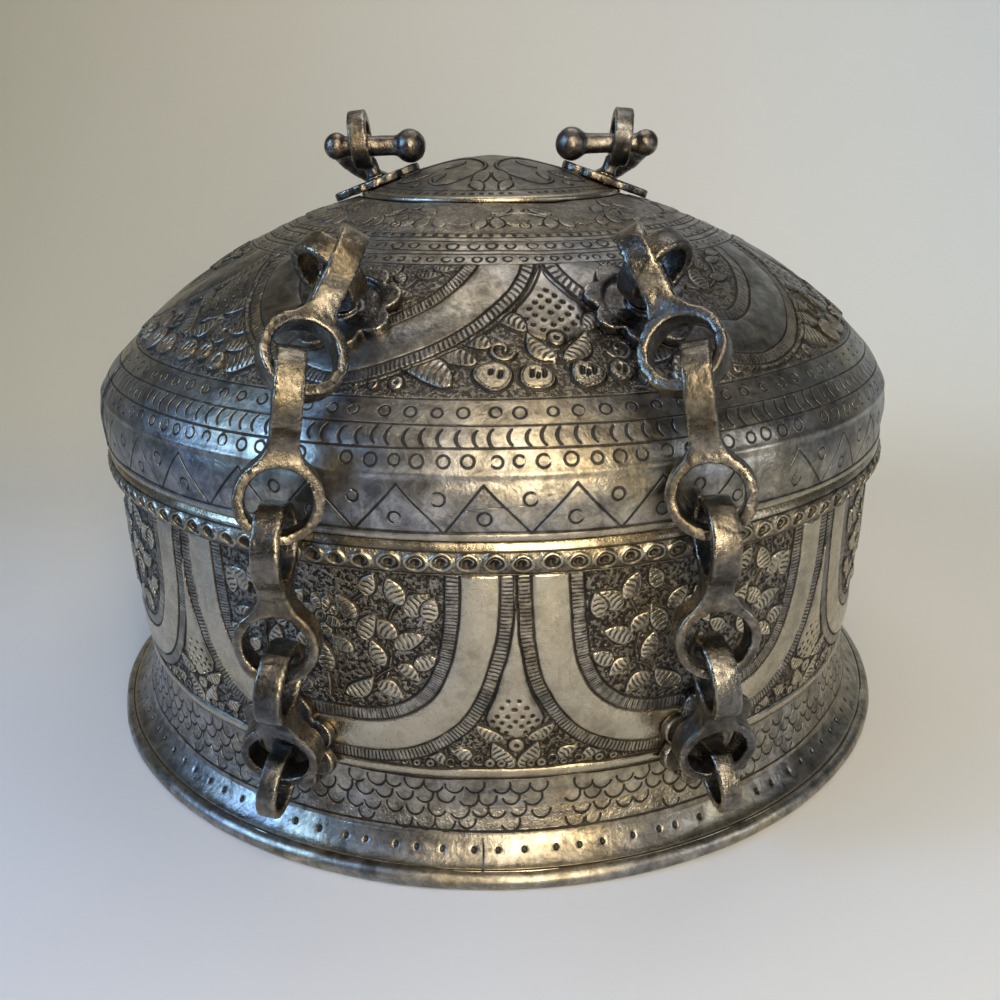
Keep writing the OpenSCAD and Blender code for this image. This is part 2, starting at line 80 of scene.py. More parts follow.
def drift3(p, size, seed=0):
    """Smooth random field from -1 to 1 in space."""
    q = p / size
    i = np.floor(q).astype(np.int64)
    f = q - i
    f = f * f * (3 - 2 * f)
    out = 0
    for dx in (0, 1):
        for dy in (0, 1):
            for dz in (0, 1):
                w = (f[:, 0] if dx else 1 - f[:, 0]) * (f[:, 1] if dy else 1 - f[:, 1])
                w = w * (f[:, 2] if dz else 1 - f[:, 2])
                out = out + w * hash01(i[:, 0] + dx, i[:, 1] + dy * 7919 + (i[:, 2] + dz) * 104729, seed)
    return out * 2 - 1


def line_mesh(name, points, faces, uv=None, attributes=None):
    """A smooth-shaded mesh object from arrays in millimetres."""
    me = bpy.data.meshes.new(name)
    me.vertices.add(len(points))
    me.vertices.foreach_set("co", (points * MM).astype(np.float32).ravel())
    n = len(faces)
    me.loops.add(n * 4)
    me.loops.foreach_set("vertex_index", faces.astype(np.int32).ravel())
    me.polygons.add(n)
    me.polygons.foreach_set("loop_start", np.arange(0, n * 4, 4, dtype=np.int32))
    me.polygons.foreach_set("use_smooth", np.ones(n, bool))
    if uv is not None:
        layer = me.uv_layers.new(name="OFBake")
        layer.uv.foreach_set("vector", uv.astype(np.float32).ravel())
    for key, value in (attributes or {}).items():
        at = me.attributes.new(key, "FLOAT", "POINT")
        at.data.foreach_set("value", value.astype(np.float32).ravel())
    me.update()
    me.validate()
    ob = bpy.data.objects.new(name, me)
    bpy.context.scene.collection.objects.link(ob)
    return ob


def columns(step_front, step_back, radius, half_front=66):
    """Bearings round the box in degrees from the front, closer together on the side that faces the camera."""
    fine = math.degrees(step_front / radius)
    coarse = math.degrees(step_back / radius)
    front = np.linspace(-half_front, half_front, int(round(2 * half_front / fine)) + 1)
    rest = 360 - 2 * half_front
    n = int(round(rest / coarse))
    return np.concatenate([front, half_front + rest * np.arange(1, n) / n])


def resample(line, step):
    """Points along a profile at most that far apart, with its corners kept."""
    out = [np.array([line[0]])]
    for a, b in zip(line[:-1], line[1:]):
        n = max(1, int(math.ceil(np.linalg.norm(b - a) / step)))
        out.append(a + (b - a) * (np.arange(1, n + 1) / n)[:, None])
    return np.concatenate(out)


def outward(line):
    """Unit normals to the right-hand side of an upward profile, which is away from the axis."""
    t = np.gradient(line, axis=0)
    t = t / np.maximum(np.linalg.norm(t, axis=1), 1e-9)[:, None]
    return np.stack([t[:, 1], -t[:, 0]], 1)


def spin(name, line, azimuths, shape=None, turned=False):
    """A surface of revolution through the profile (radius, height), displaced by shape(azimuth, arc, radius, height)."""
    s = np.concatenate([[0], np.cumsum(np.linalg.norm(np.diff(line, axis=0), axis=1))])
    n = outward(line)
    rows, cols = len(line), len(azimuths)
    az = np.broadcast_to(azimuths, (rows, cols)).ravel()
    S = np.repeat(s, cols)
    R = np.repeat(line[:, 0], cols)
    Z = np.repeat(line[:, 1], cols)
    NR = np.repeat(n[:, 0], cols)
    NZ = np.repeat(n[:, 1], cols)
    h, marks = shape(az, S, R, Z) if shape else (0, {})
    rr = R + NR * h
    a = np.radians(az)
    pts = np.stack([rr * np.sin(a), -rr * np.cos(a), Z + NZ * h], 1)
    k = np.arange(rows * cols).reshape(rows, cols)
    k2 = np.roll(k, -1, axis=1)
    faces = np.stack([k[:-1], k2[:-1], k2[1:], k[1:]], -1).reshape(-1, 4)
    u = np.append(np.arange(cols), cols) / cols
    v = s / s[-1]
    uv = np.empty((rows - 1, cols, 4, 2))
    uv[..., 0, 0] = uv[..., 3, 0] = u[:-1]
    uv[..., 1, 0] = uv[..., 2, 0] = u[1:]
    uv[..., 0, 1] = uv[..., 1, 1] = v[:-1, None]
    uv[..., 2, 1] = uv[..., 3, 1] = v[1:, None]
    if turned:
        faces = faces[:, ::-1]
        uv = uv[:, :, ::-1]
    return line_mesh(name, pts, faces, uv.reshape(-1, 2) * 0.98 + 0.01, marks)


# Outlines, the same as the CAD part's
BOWL_R, SHEET, WAIST_IN, WAIST_Z, BELLY_Z, FOOT_H, LIP, RIM_Z = 129.4, 1.8, 2.6, 28.0, 85.0, 10.7, 0.8, 99.0
FOOT_R, REACH, BEAD, BEAD_Z = BOWL_R + LIP, 6.7, 2.6, 2.3
LID_R, LID_Z, LEAN, SIDE_H, TURN_R, TURN, DOME_R = 132.1, 99.3, 0.8, 9.7, 22.1, math.radians(44), 170.5
TURN_C = np.array([LID_R + LEAN - TURN_R, LID_Z + SIDE_H])
DOME_C = TURN_C - (DOME_R - TURN_R) * np.array([math.cos(TURN), math.sin(TURN)])
DISC_R, DISC_TOP, DISC_DROP = 43.5, 184.513, 11.797


def wall_r(z):
    up = np.clip((z - WAIST_Z) / (BELLY_Z - WAIST_Z), 0, 1)
    down = np.clip((WAIST_Z - z) / (WAIST_Z - FOOT_H), 0, None)
    high = BOWL_R - WAIST_IN * (1 - up) ** 2.2
    low = BOWL_R - WAIST_IN + (WAIST_IN + LIP) * down ** 2
    return np.where(z >= WAIST_Z, high, low)


def dome_z(r):
    return DOME_C[1] + np.sqrt(DOME_R**2 - np.maximum(r - DOME_C[0], 0) ** 2)


def arc(c, r, a0, a1, n):
    a = np.linspace(a0, a1, n + 1)
    return np.stack([c[0] + r * np.cos(a), c[1] + r * np.sin(a)], 1)


def lid_line(inset, to_r, n=60):
    """The lid's outline moved in by that much, from its mouth up to that radius."""
    side = [[LID_R - inset, LID_Z], [LID_R + LEAN - inset, LID_Z + SIDE_H]]
    turn = arc(TURN_C, TURN_R - inset, 0, TURN, 14)[1:]
    end = math.acos((to_r - DOME_C[0]) / (DOME_R - inset))
    dome = arc(DOME_C, DOME_R - inset, TURN, end, n)[1:]
    return np.concatenate([side, turn, dome])


LID_TURN_S = math.hypot(LEAN, SIDE_H)
LID_DOME_S = LID_TURN_S + TURN_R * TURN


def disc_z(r):
    return DISC_TOP - DISC_DROP * (np.abs(r) / DISC_R) ** 1.5


# Marks drawn on a surface that is laid out flat
def path_near(x, y, pts):
    """Distance to a drawn path, and the length along it, for many points."""
    best = np.full(len(x), 1e9)
    along = np.zeros(len(x))
    s = 0.0
    for (ax, ay), (bx, by) in zip(pts[:-1], pts[1:]):
        dx, dy = bx - ax, by - ay
        size = math.hypot(dx, dy)
        if size < 1e-9:
            continue
        t = np.clip(((x - ax) * dx + (y - ay) * dy) / size**2, 0, 1)
        d = np.hypot(x - ax - t * dx, y - ay - t * dy)
        w = d < best
        best[w] = d[w]
        along[w] = (s + t * size)[w]
        s += size
    return best, along


def bow(p, q, bulge, n=10):
    """A curved stroke from p to q that swells sideways by that share of its length."""
    p, q = np.array(p, float), np.array(q, float)
    t = np.linspace(0, 1, n + 1)[:, None]
    side = np.array([-(q - p)[1], (q - p)[0]])
    return p + (q - p) * t + side * bulge * 4 * t * (1 - t)


def curl(c, r, a0, a1, shrink=0.5, n=16):
    """A spiral stroke round c, with angles in degrees."""
    a = np.radians(np.linspace(a0, a1, n + 1))
    k = r * np.linspace(1, shrink, n + 1)
    return np.stack([c[0] + k * np.cos(a), c[1] + k * np.sin(a)], 1)


class Sheet:
    """Relief, engraved lines, hatching and stippled ground over points of a flat layout. Scale turns its units into mm."""

    def __init__(self, x, y, scale=1.0):
        self.x, self.y = x, y
        self.k = np.broadcast_to(scale, x.shape).astype(float)
        self.h = np.zeros(len(x))
        self.line = np.full(len(x), 2.0)
        self.hatch = np.zeros(len(x))
        self.beat = np.zeros(len(x))
        self.ground = np.zeros(len(x))

    def near(self, pts, pad):
        lo, hi = np.min(pts, 0) - pad, np.max(pts, 0) + pad
        return np.nonzero((self.x > lo[0]) & (self.x < hi[0]) & (self.y > lo[1]) & (self.y < hi[1]))[0]

    def engrave(self, pts, weight=0.0):
        pts = np.asarray(pts, float)
        i = self.near(pts, 2.5)
        d, s = path_near(self.x[i], self.y[i], pts)
        self.line[i] = np.minimum(self.line[i], d * self.k[i] + weight)

    def stem(self, pts, width, height):
        """A raised stem with a line along each side."""
        pts = np.asarray(pts, float)
        i = self.near(pts, width + 2.5)
        d, s = path_near(self.x[i], self.y[i], pts)
        d = d * self.k[i]
        rise = height * np.sqrt(np.clip(1 - (d / width) ** 2, 0, 1))
        self.h[i] = np.maximum(self.h[i], rise)
        inside = d < width
        self.line[i] = np.where(inside, 2.0, self.line[i])
        self.line[i] = np.minimum(self.line[i], np.abs(d - width))
        self.ground[i] = self.ground[i] * smooth(width - 0.1, width + 0.3, d)
        self.hatch[i] = self.hatch[i] * smooth(width - 0.1, width + 0.3, d)

    def leaf(self, c, angle, length, width, height=0.55, veins=1.0, bend=0.0, point=0.75):
        """A raised leaf from its base at c, with veins across it."""
        a = math.radians(angle)
        far = np.array([c, [c[0] + length * math.cos(a), c[1] + length * math.sin(a)]])
        i = self.near(far, width + 1.5)
        x, y = self.x[i] - c[0], self.y[i] - c[1]
        u = (x * math.cos(a) + y * math.sin(a)) / length
        v = -x * math.sin(a) + y * math.cos(a) - bend * length * 4 * u * (1 - u)
        uc = np.clip(u, 0.001, 0.999)
        half = width / 2 * np.sin(np.pi * uc**point) ** 0.8 + 0.05
        edge = (np.abs(v) - half) * self.k[i]
        edge = np.where((u < 0) | (u > 1), np.maximum(edge, np.maximum(-u, u - 1) * length), edge)
        inside = edge < 0
        rise = 1.15 * height * np.sqrt(np.clip(1 - (np.abs(v) / np.maximum(half, 0.3)) ** 3.2, 0, 1))
        self.h[i] = np.where(inside, np.maximum(self.h[i] * 0.4, rise), self.h[i])
        self.line[i] = np.where(inside, 2.0, self.line[i])
        self.line[i] = np.minimum(self.line[i], np.abs(edge))
        core = smooth(-0.55, -0.95, edge) * veins
        self.hatch[i] = np.where(edge < 0.4, core, self.hatch[i])
        self.beat[i] = np.where(edge < 0.6, u * length * 0.78 + np.abs(v) * 0.16, self.beat[i])
        self.ground[i] = self.ground[i] * smooth(0.0, 0.3, edge)

    def knob(self, c, r, height, eye=0.0, rim=True):
        """A round raised spot, with a punched eye if wanted."""
        i = self.near(np.array([c]), r + 1.5)
        d = np.hypot(self.x[i] - c[0], self.y[i] - c[1]) * self.k[i]
        rise = height * np.sqrt(np.clip(1 - (d / r) ** 2.6, 0, 1))
        inside = d < r
        self.h[i] = np.where(inside, np.maximum(self.h[i] * 0.5, rise), self.h[i])
        self.line[i] = np.where(inside, 2.0, self.line[i])
        self.hatch[i] = np.where(inside, 0, self.hatch[i])
        self.ground[i] = self.ground[i] * smooth(r - 0.1, r + 0.2, d)
        if rim:
            self.line[i] = np.minimum(self.line[i], np.abs(d - r))
        if eye:
            self.punch(c, eye, 0.7)

    def shell(self, c, wide, high, height, slits, x):
        """A raised rounded form with a few cut slits, placed along x, which tells left from right."""
        i = np.nonzero(np.abs(x - c[0]) * self.k + np.abs(self.y - c[1]) * self.k < (wide + high) * 1.5)[0]
        dx, dy = (x[i] - c[0]) * self.k[i], (self.y[i] - c[1]) * self.k[i]
        wavy = 1 + 0.06 * np.sin(3 * np.arctan2(dy, dx) + c[0]) + 0.05 * drift(dx, dy, 3.1, 75)
        rho = np.hypot(dx / wide, dy / high) * wavy
        inside = rho < 1
        rise = height * (0.62 * smooth(1.0, 0.86, rho) + 0.38 * np.sqrt(np.clip(1 - rho**2, 0, 1)))
        self.h[i] = np.where(inside, rise, self.h[i])
        self.line[i] = np.where(inside, 2.0, self.line[i])
        self.hatch[i] = np.where(rho < 1.06, 0, self.hatch[i])
        self.ground[i] = np.where(rho < 0.8, 0.22, self.ground[i] * smooth(1.0, 1.08, rho))
        self.line[i] = np.minimum(self.line[i], np.abs(rho - 1) * min(wide, high))
        self.line[i] = np.minimum(self.line[i], np.abs(rho - 0.82) * min(wide, high) + 0.16)
        for k in range(slits):
            at = wide * (0.5 * (2 * (k + 0.5) / slits - 1) + 0.08) if slits > 1 else 0.1 * wide
            tall = 0.85 if (k + slits) % 2 else 0.5
            low = high * (0.04 if k % 2 else 0.2)
            cut = np.hypot(dx - at - 0.2 * dy, np.maximum(np.abs(dy - low) - tall, 0))
            self.h[i] -= 0.8 * np.exp(-((cut / 0.55) ** 2))
            self.line[i] = np.minimum(self.line[i], np.maximum(cut - 0.22, 0))

    def punch(self, c, r, depth):
        i = self.near(np.array([c]), r + 1.0)
        d = np.hypot(self.x[i] - c[0], self.y[i] - c[1]) * self.k[i]
        self.h[i] -= depth * np.exp(-((d / r) ** 2))
        self.line[i] = np.minimum(self.line[i], np.maximum(d - r * 0.6, 0))

    def border(self, d, s, near, far, pitch, rise):
        """A hatched border between two distances from a path, with a line on each side."""
        core = smooth(near + 0.1, near + 0.45, d) * smooth(far - 0.1, far - 0.45, d)
        inside = (d > near) & (d < far)
        self.hatch = np.where(inside, core, self.hatch)
        self.beat = np.where((d > near - 0.5) & (d < far + 0.5), s * 1.1 / pitch, self.beat)
        self.h = np.where(inside, rise * core, self.h)
        self.ground = np.where(inside, 0, self.ground)
        self.line = np.minimum(self.line, np.minimum(np.abs(d - near), np.abs(d - far)))


def stamps(u, v, period, v0, count, kind, r, seed, jitter=0.12, skip=0.0, phase=0.0, tilt=0.0):
    """Distance in mm to the nearest of a row of stamped marks round the box; u is in mm along the row."""
    best = np.full(len(u), 3.0)
    place = u / period - phase
    for off in (-1, 0, 1):
        k = np.floor(place + 0.5).astype(np.int64) + off
        idx = np.mod(k, count)
        cx = (k + phase) * period + (hash01(idx, 1, seed) - 0.5) * 2 * jitter * period
        cy = v0 + (hash01(idx, 2, seed) - 0.5) * 2 * jitter * r
        dx, dy = u - cx, v - cy
        rr = r * (1 + (hash01(idx, 3, seed) - 0.5) * 0.22)
        turn = (hash01(idx, 7, seed) - 0.5) * 2 * tilt
        dx, dy = dx * np.cos(turn) - dy * np.sin(turn), dx * np.sin(turn) + dy * np.cos(turn)
        rho = np.hypot(dx, dy)
        d = np.abs(rho - rr)
        if kind == "ring":
            gap = hash01(idx, 4, seed) * TAU
            ang = np.abs(np.mod(np.arctan2(dy, dx) - gap + np.pi, TAU) - np.pi)
            faint = 0.28 * smooth(1.1, 0.2, ang) * (hash01(idx, 5, seed) > 0.4)
            d = d + faint
        elif kind == "scale":
            ang = np.arctan2(dx, -dy)
            d = np.where(np.abs(ang) < 1.45, d, np.hypot(np.abs(dx) - rr * 0.99, dy + rr * 0.12))
        elif kind == "crescent":
            ang = np.arctan2(dy, -dx)
            lim = 0.85
            ex, ey = -rr * math.cos(lim), rr * math.sin(lim)
            end = np.minimum(np.hypot(dx - ex, dy - ey), np.hypot(dx - ex, dy + ey))
            d = np.where(np.abs(ang) < lim, d - 0.16 * np.clip(1 - np.abs(ang) / lim, 0, 1), end)
        elif kind == "dot":
            d = np.maximum(rho - rr, 0)
        d = np.where(hash01(idx, 6, seed) < skip, 3.0, d)
        best = np.minimum(best, d)
    return best


def marks_of(sheet, bright=0.0, extra=None):
    out = {"line": sheet.line, "hatch": sheet.hatch, "beat": sheet.beat, "ground": sheet.ground}
    # The bright mask marks where the colour is made lighter: wear with a painted highlight.
    out["bright"] = np.broadcast_to(bright, sheet.x.shape)
    out.update(extra or {})
    return out


# Bowl: eight hanging arches, a spear and palmette between them, scales round the foot
ARCH_HALF, ARCH_TOP, ARCH_H, ARCH_POW = 50.4, 89.7, 58.6, 2.7
ARCH_AT = 24.5


def arch_path(half, top, deep, power, n=44):
    t = np.linspace(0, 1, n + 1) ** 0.8
    a = t * np.pi / 2
    x = half * np.sin(a) ** (2 / power)
    y = top - deep * np.cos(a) ** (2 / power)
    return np.stack([x, y], 1)


def bowl_shape(az, s, R, Z):
    u = np.radians(az) * 129.0
    turn = np.mod(az - ARCH_AT + 22.5, 45) - 22.5
    x = np.radians(turn) * 129.0
    x = x + 0.55 * drift(u, Z, 19, 3) + 0.2 * drift(u, Z, 6, 4)
    y = Z + 0.5 * drift(u, Z, 23, 5) + 0.2 * drift(u, Z, 7, 6)
    up = Z > 31.2
    m = Sheet(x, y)
    m.ground[:] = 1.0 * (Z > 31.4)
    ax = np.abs(x)
    d, along = path_near(ax, y, arch_path(ARCH_HALF, ARCH_TOP, ARCH_H, ARCH_POW))
    inside = ((ax / ARCH_HALF) ** ARCH_POW + (np.clip(ARCH_TOP - y, 0, None) / ARCH_H) ** ARCH_POW) < 1
    d = np.where(inside, d, -d)
    # Spear and palmette in the valleys, drawn from the valley's own middle line
    v = Sheet(ARCH_HALF + 0.25 - ax, y)
    v.ground[:] = 1.0
    spear_y = np.array([41.6, 43.2, 45.2, 47.6, 50.4, 54, 59, 65, 72, 79.5])
    spear_w = np.array([0.3, 4.6, 7.2, 7.9, 6.9, 5.2, 3.5, 2.2, 1.1, 0.15])
    sw = np.interp(y, spear_y, spear_w, left=0, right=0)
    edge = v.x - sw
    spear = (edge < 0) & (y > 41.6) & (y < 79.5)
    v.h = np.where(spear, 0.85 * np.sqrt(np.clip(1 - (v.x / np.maximum(sw, 0.2)) ** 2, 0, 1)), 0)
    v.ground = np.where(spear, 0, v.ground)
    near_edge = np.abs(edge) * np.where(y < 53, 0.8, 1.0)
    v.line = np.where((y > 41.3) & (y < 80), np.minimum(v.line, near_edge), v.line)
    v.leaf([3.2, 41.4], 33, 9.2, 4.2, 0.75, bend=-0.14)
    v.leaf([0.5, 31.9], 56, 10.4, 5.6, 0.8, bend=-0.12)
    v.knob([0.0, 38.9], 2.5, 0.75, 0.6)
    dots = ((1.5, 53.2), (0.2, 50.6), (3.2, 51.0), (4.6, 48.4), (1.9, 48.3), (0.0, 46.9), (3.5, 46.4), (5.9, 46.8), (1.5, 45.3), (4.6, 44.6), (2.6, 43.4))
    for cx, cy in dots:
        v.punch([cx, cy], 0.5, 0.6)
    v.leaf([12.2, 32.8], 40, 7.4, 4.6, 0.7, bend=0.16)
    v.leaf([18.6, 32.6], 26, 7.6, 3.8, 0.6, bend=0.14)
    v.stem(curl([10.2, 34.2], 1.9, 250, 560, 0.45), 0.5, 0.5)
    v.stem(curl([17.6, 33.4], 1.5, 250, 560, 0.45), 0.5, 0.5)
    for cx, r in ((4.2, 1.5), (7.3, 1.7), (13.8, 1.4), (23.4, 1.5), (27.2, 1.3), (30.6, 1.1)):
        v.knob([cx, 31.9 + r * 0.6], r, 0.55, 0.35)
    out = d < 0
    for name in ("h", "line", "hatch", "beat", "ground"):
        setattr(m, name, np.where(out, getattr(v, name), getattr(m, name)))
    # The spray of leaves inside each arch
    for sx in (-1, 1):
        m.stem(bow([sx * 6, 51], [sx * 19, 66], -sx * 0.16), 0.5, 0.5)
        m.stem(bow([sx * 19, 66], [sx * 23.5, 83], sx * 0.14), 0.45, 0.5)
        m.stem(bow([sx * 12.5, 57], [sx * 25.5, 62.5], sx * 0.14), 0.4, 0.45)
        m.stem(bow([sx * 5, 63], [sx * 13, 83], sx * 0.2), 0.4, 0.45)
        for px, py, an, ln, wd in (
            (20.2, 68.5, 25, 8.4, 4.6),
            (21.0, 71.5, 142, 7.2, 4.4),
            (23.6, 78.0, 42, 7.6, 5.2),
            (22.8, 80.6, 118, 7.6, 4.6),
            (25.0, 62.4, 28, 7.0, 4.2),
            (20.6, 63.2, -40, 6.8, 3.8),
            (16.6, 62.4, 108, 7.8, 4.4),
            (11.6, 70.0, 62, 8.0, 4.6),
            (10.4, 76.0, 132, 7.4, 4.4),
            (13.0, 82.4, 66, 6.2, 4.2),
            (8.4, 66.2, 148, 6.4, 3.8),
            (14.2, 57.4, -32, 8.0, 4.6),
            (29.4, 76.0, 78, 7.0, 4.2),
        ):
            m.leaf([sx * px, py], an if sx > 0 else 180 - an, ln * 1.08, wd * 1.2, 0.75, bend=0.05 * sx)
        m.leaf([sx * 5.0, 52.6], 90 - sx * 52, 10.4, 5.6, 0.8, bend=-0.12 * sx)
    for k in range(8):
        m.leaf([0, 75.2], 22.5 + 45 * k, 6.4, 3.6, 0.65, veins=0.9, point=1.3)
    m.knob([0, 75.2], 1.9, 0.8, 0.6)
    m.leaf([0, 58.4], 90, 9.0, 5.6, 0.75)
    m.stem(bow([0, 51], [0, 58.6], 0), 0.5, 0.5)
    # The arch's plain band between two hatched borders
    i = d > 0
    keep = {k: getattr(m, k).copy() for k in ("h", "line", "hatch", "beat", "ground")}
    m.border(d, along, 0.0, 3.7, 1.12, 0.4)
    m.border(d, along, 13.3, 17.1, 1.12, 0.4)
    plain = (d >= 3.7) & (d <= 13.3)
    m.h = np.where(plain, 0.25 + 0.75 * np.sqrt(np.clip(1 - ((d - 8.5) / 4.8) ** 2, 0, 1)), m.h)
    m.ground = np.where(plain, 0, m.ground)
    m.hatch = np.where(plain, 0, m.hatch)
    wide = (d >= 3.7) & (d <= 13.3)
    m.line = np.where(wide, np.minimum(np.abs(d - 3.7), np.abs(d - 13.3)), m.line)
    for k, val in keep.items():
        now = getattr(m, k)
        setattr(m, k, np.where(d > 17.1, np.minimum(val, now) if k == "line" else val, np.where(i, now, val)))
    m.line = np.where(out, np.minimum(m.line, -d), m.line)
    # Below the arches
    low = smooth(31.4, 31.0, Z)
    ridge = 0.75 * np.sqrt(np.clip(1 - ((Z - 29.4) / 1.7) ** 2, 0, 1))
    m.h = m.h * (1 - low) + ridge * low
    m.ground = m.ground * (1 - low)
    m.hatch = m.hatch * (1 - low)
    lines = np.minimum(np.abs(y - 31.3), np.abs(y - 27.5))
    m.line = np.where(Z < 31.0, 2.0, m.line)
    scales = Z < 27.4
    for row, (zz, gone) in enumerate(((25.4, 0.05), (21.9, 0.03), (18.3, 0.05), (14.9, 0.42))):
        n = 138
        p = TAU * 129.0 / n
        high = Z + 0.8 * drift(u, Z, 31, 8)
        sc = stamps(u, high, p, zz, n, "scale", 2.6, 20 + row, 0.13, gone, 0.5 * (row % 2), 0.55)
        m.line = np.where(scales, np.minimum(m.line, sc), m.line)
        swell = bell(Z - zz + 1.0, 1.7) * 0.2
        m.h = m.h + np.where(scales, swell, 0)
    m.ground = np.where(scales & (Z < 18.5) & (Z > 12.6), 0.35, m.ground)
    m.line = np.minimum(m.line, lines)
    m.line = np.minimum(m.line, np.abs(Z - 12.4 - 0.3 * drift(u, 0 * u, 30, 9)))
    # The neck under the band stays plain, and the whole wall is a little uneven
    top = smooth(89.2, 89.9, Z)
    m.h = m.h * (1 - top)
    m.ground = m.ground * (1 - top)
    m.hatch = m.hatch * (1 - top)
    m.line = np.where(Z > 89.6, 2.0, m.line)
    edge_fade = smooth(FOOT_H, FOOT_H + 0.6, Z)
    dents = 0.22 * drift(u, Z, 17, 11) + 0.35 * drift(u, Z, 48, 12)
    h = (m.h + dents) * edge_fade * (1 - top)
    # Lighter on the raised relief and the arches' plain bands: wear with a painted highlight.
    bright = np.maximum(smooth(0.35, 0.75, m.h), 1.0 * (plain & (d > 0)))
    return h, marks_of(m, bright)


# Band of punched eyes round the mouth
EYES = 124


def band_shape(az, s, R, Z):
    u = np.radians(az) * 131.8
    p = TAU * 131.8 / EYES
    place = u / p
    k = np.floor(place + 0.5)
    idx = np.mod(k, EYES)
    dx = u - k * p - (hash01(idx, 1, 70) - 0.5) * 0.9
    dz = Z - 93.3 - (hash01(idx, 2, 70) - 0.5) * 0.7 - 0.35 * drift(u, 0 * u, 40, 71)
    r = 2.2 * (1 + (hash01(idx, 3, 70) - 0.5) * 0.2)
    rho = np.hypot(dx / 1.2, dz * (1.0 + 0.1 * np.abs(dx) / r))
    rim = 0.46 * bell(rho - r, 0.42)
    bowl = -0.22 * smooth(r, 1.0, rho)
    pit = np.hypot(dx + 0.2, dz + 0.1)
    dot = -0.9 * bell(pit, 0.95) + 0.5 * bell(np.hypot(dx - 0.45, dz + 0.6), 0.4)
    rail = 0.28 * smooth(96.4, 97.6, Z)
    h = (rim + bowl + dot) * smooth(89.6, 90.4, Z) * smooth(97.4, 96.4, Z) + rail
    h = (h + 0.12 * drift(u, Z, 5, 73)) * smooth(89.5, 89.9, Z) * smooth(98.9, 98.5, Z)
    m = Sheet(u, Z)
    m.line = np.minimum(np.abs(rho - r + 0.62) + 0.1, np.abs(Z - 90.2))
    m.line = np.where(Z > 96.9, 2.0, np.minimum(m.line, np.abs(Z - 96.6)))
    m.line = np.where(Z > 96.4, m.line, np.minimum(m.line, np.maximum(pit - 0.85, 0)))
    m.ground = 0.5 * smooth(96.5, 96.1, Z) * smooth(r + 0.3, r + 0.9, rho)
    # Painted highlight on the upper side of each eye's rim and on the top rail.
    shine = 0.7 * smooth(0.25, 0.42, rim) * smooth(-0.6, 1.2, dz)
    return h, marks_of(m, np.maximum(shine, smooth(96.6, 97.4, Z)))


def flange_shape(az, s, R, Z):
    u = np.radians(az) * 133.0
    m = Sheet(u, Z)
    t = (R - FOOT_R) / REACH
    n = 112
    p = TAU * 133.0 / n
    dot = stamps(u, (t - 0.28) * 8.4, p, 0.0, n, "dot", 0.3, 80, 0.16, 0.03)
    m.line = np.minimum(np.maximum(dot - 0.12, 0), np.abs(t - 0.93) * 7)
    seam = np.abs(u + 4.6 + 0.35 * drift(0 * u, t * 8, 3, 82))
    m.line = np.minimum(m.line, seam + 0.1)
    h = -0.4 * np.exp(-((dot / 0.4) ** 2)) + 0.3 * drift(u, t * 8, 26, 81) * smooth(0, 0.2, t) * smooth(1, 0.8, t)
    # The outer edge of the flange is made lighter: wear with a painted highlight.
    return h, marks_of(m, smooth(0.75, 0.9, t))


# Lid: plain lip, zigzag, stamped rows, six hanging lobes, upper bands and a flower scroll
LOBE_AT, LOBE_HALF = -21.0, 30.0
S_FIELD, S_UPPER, S_FLORAL = 36.5, 84.4, 100.4


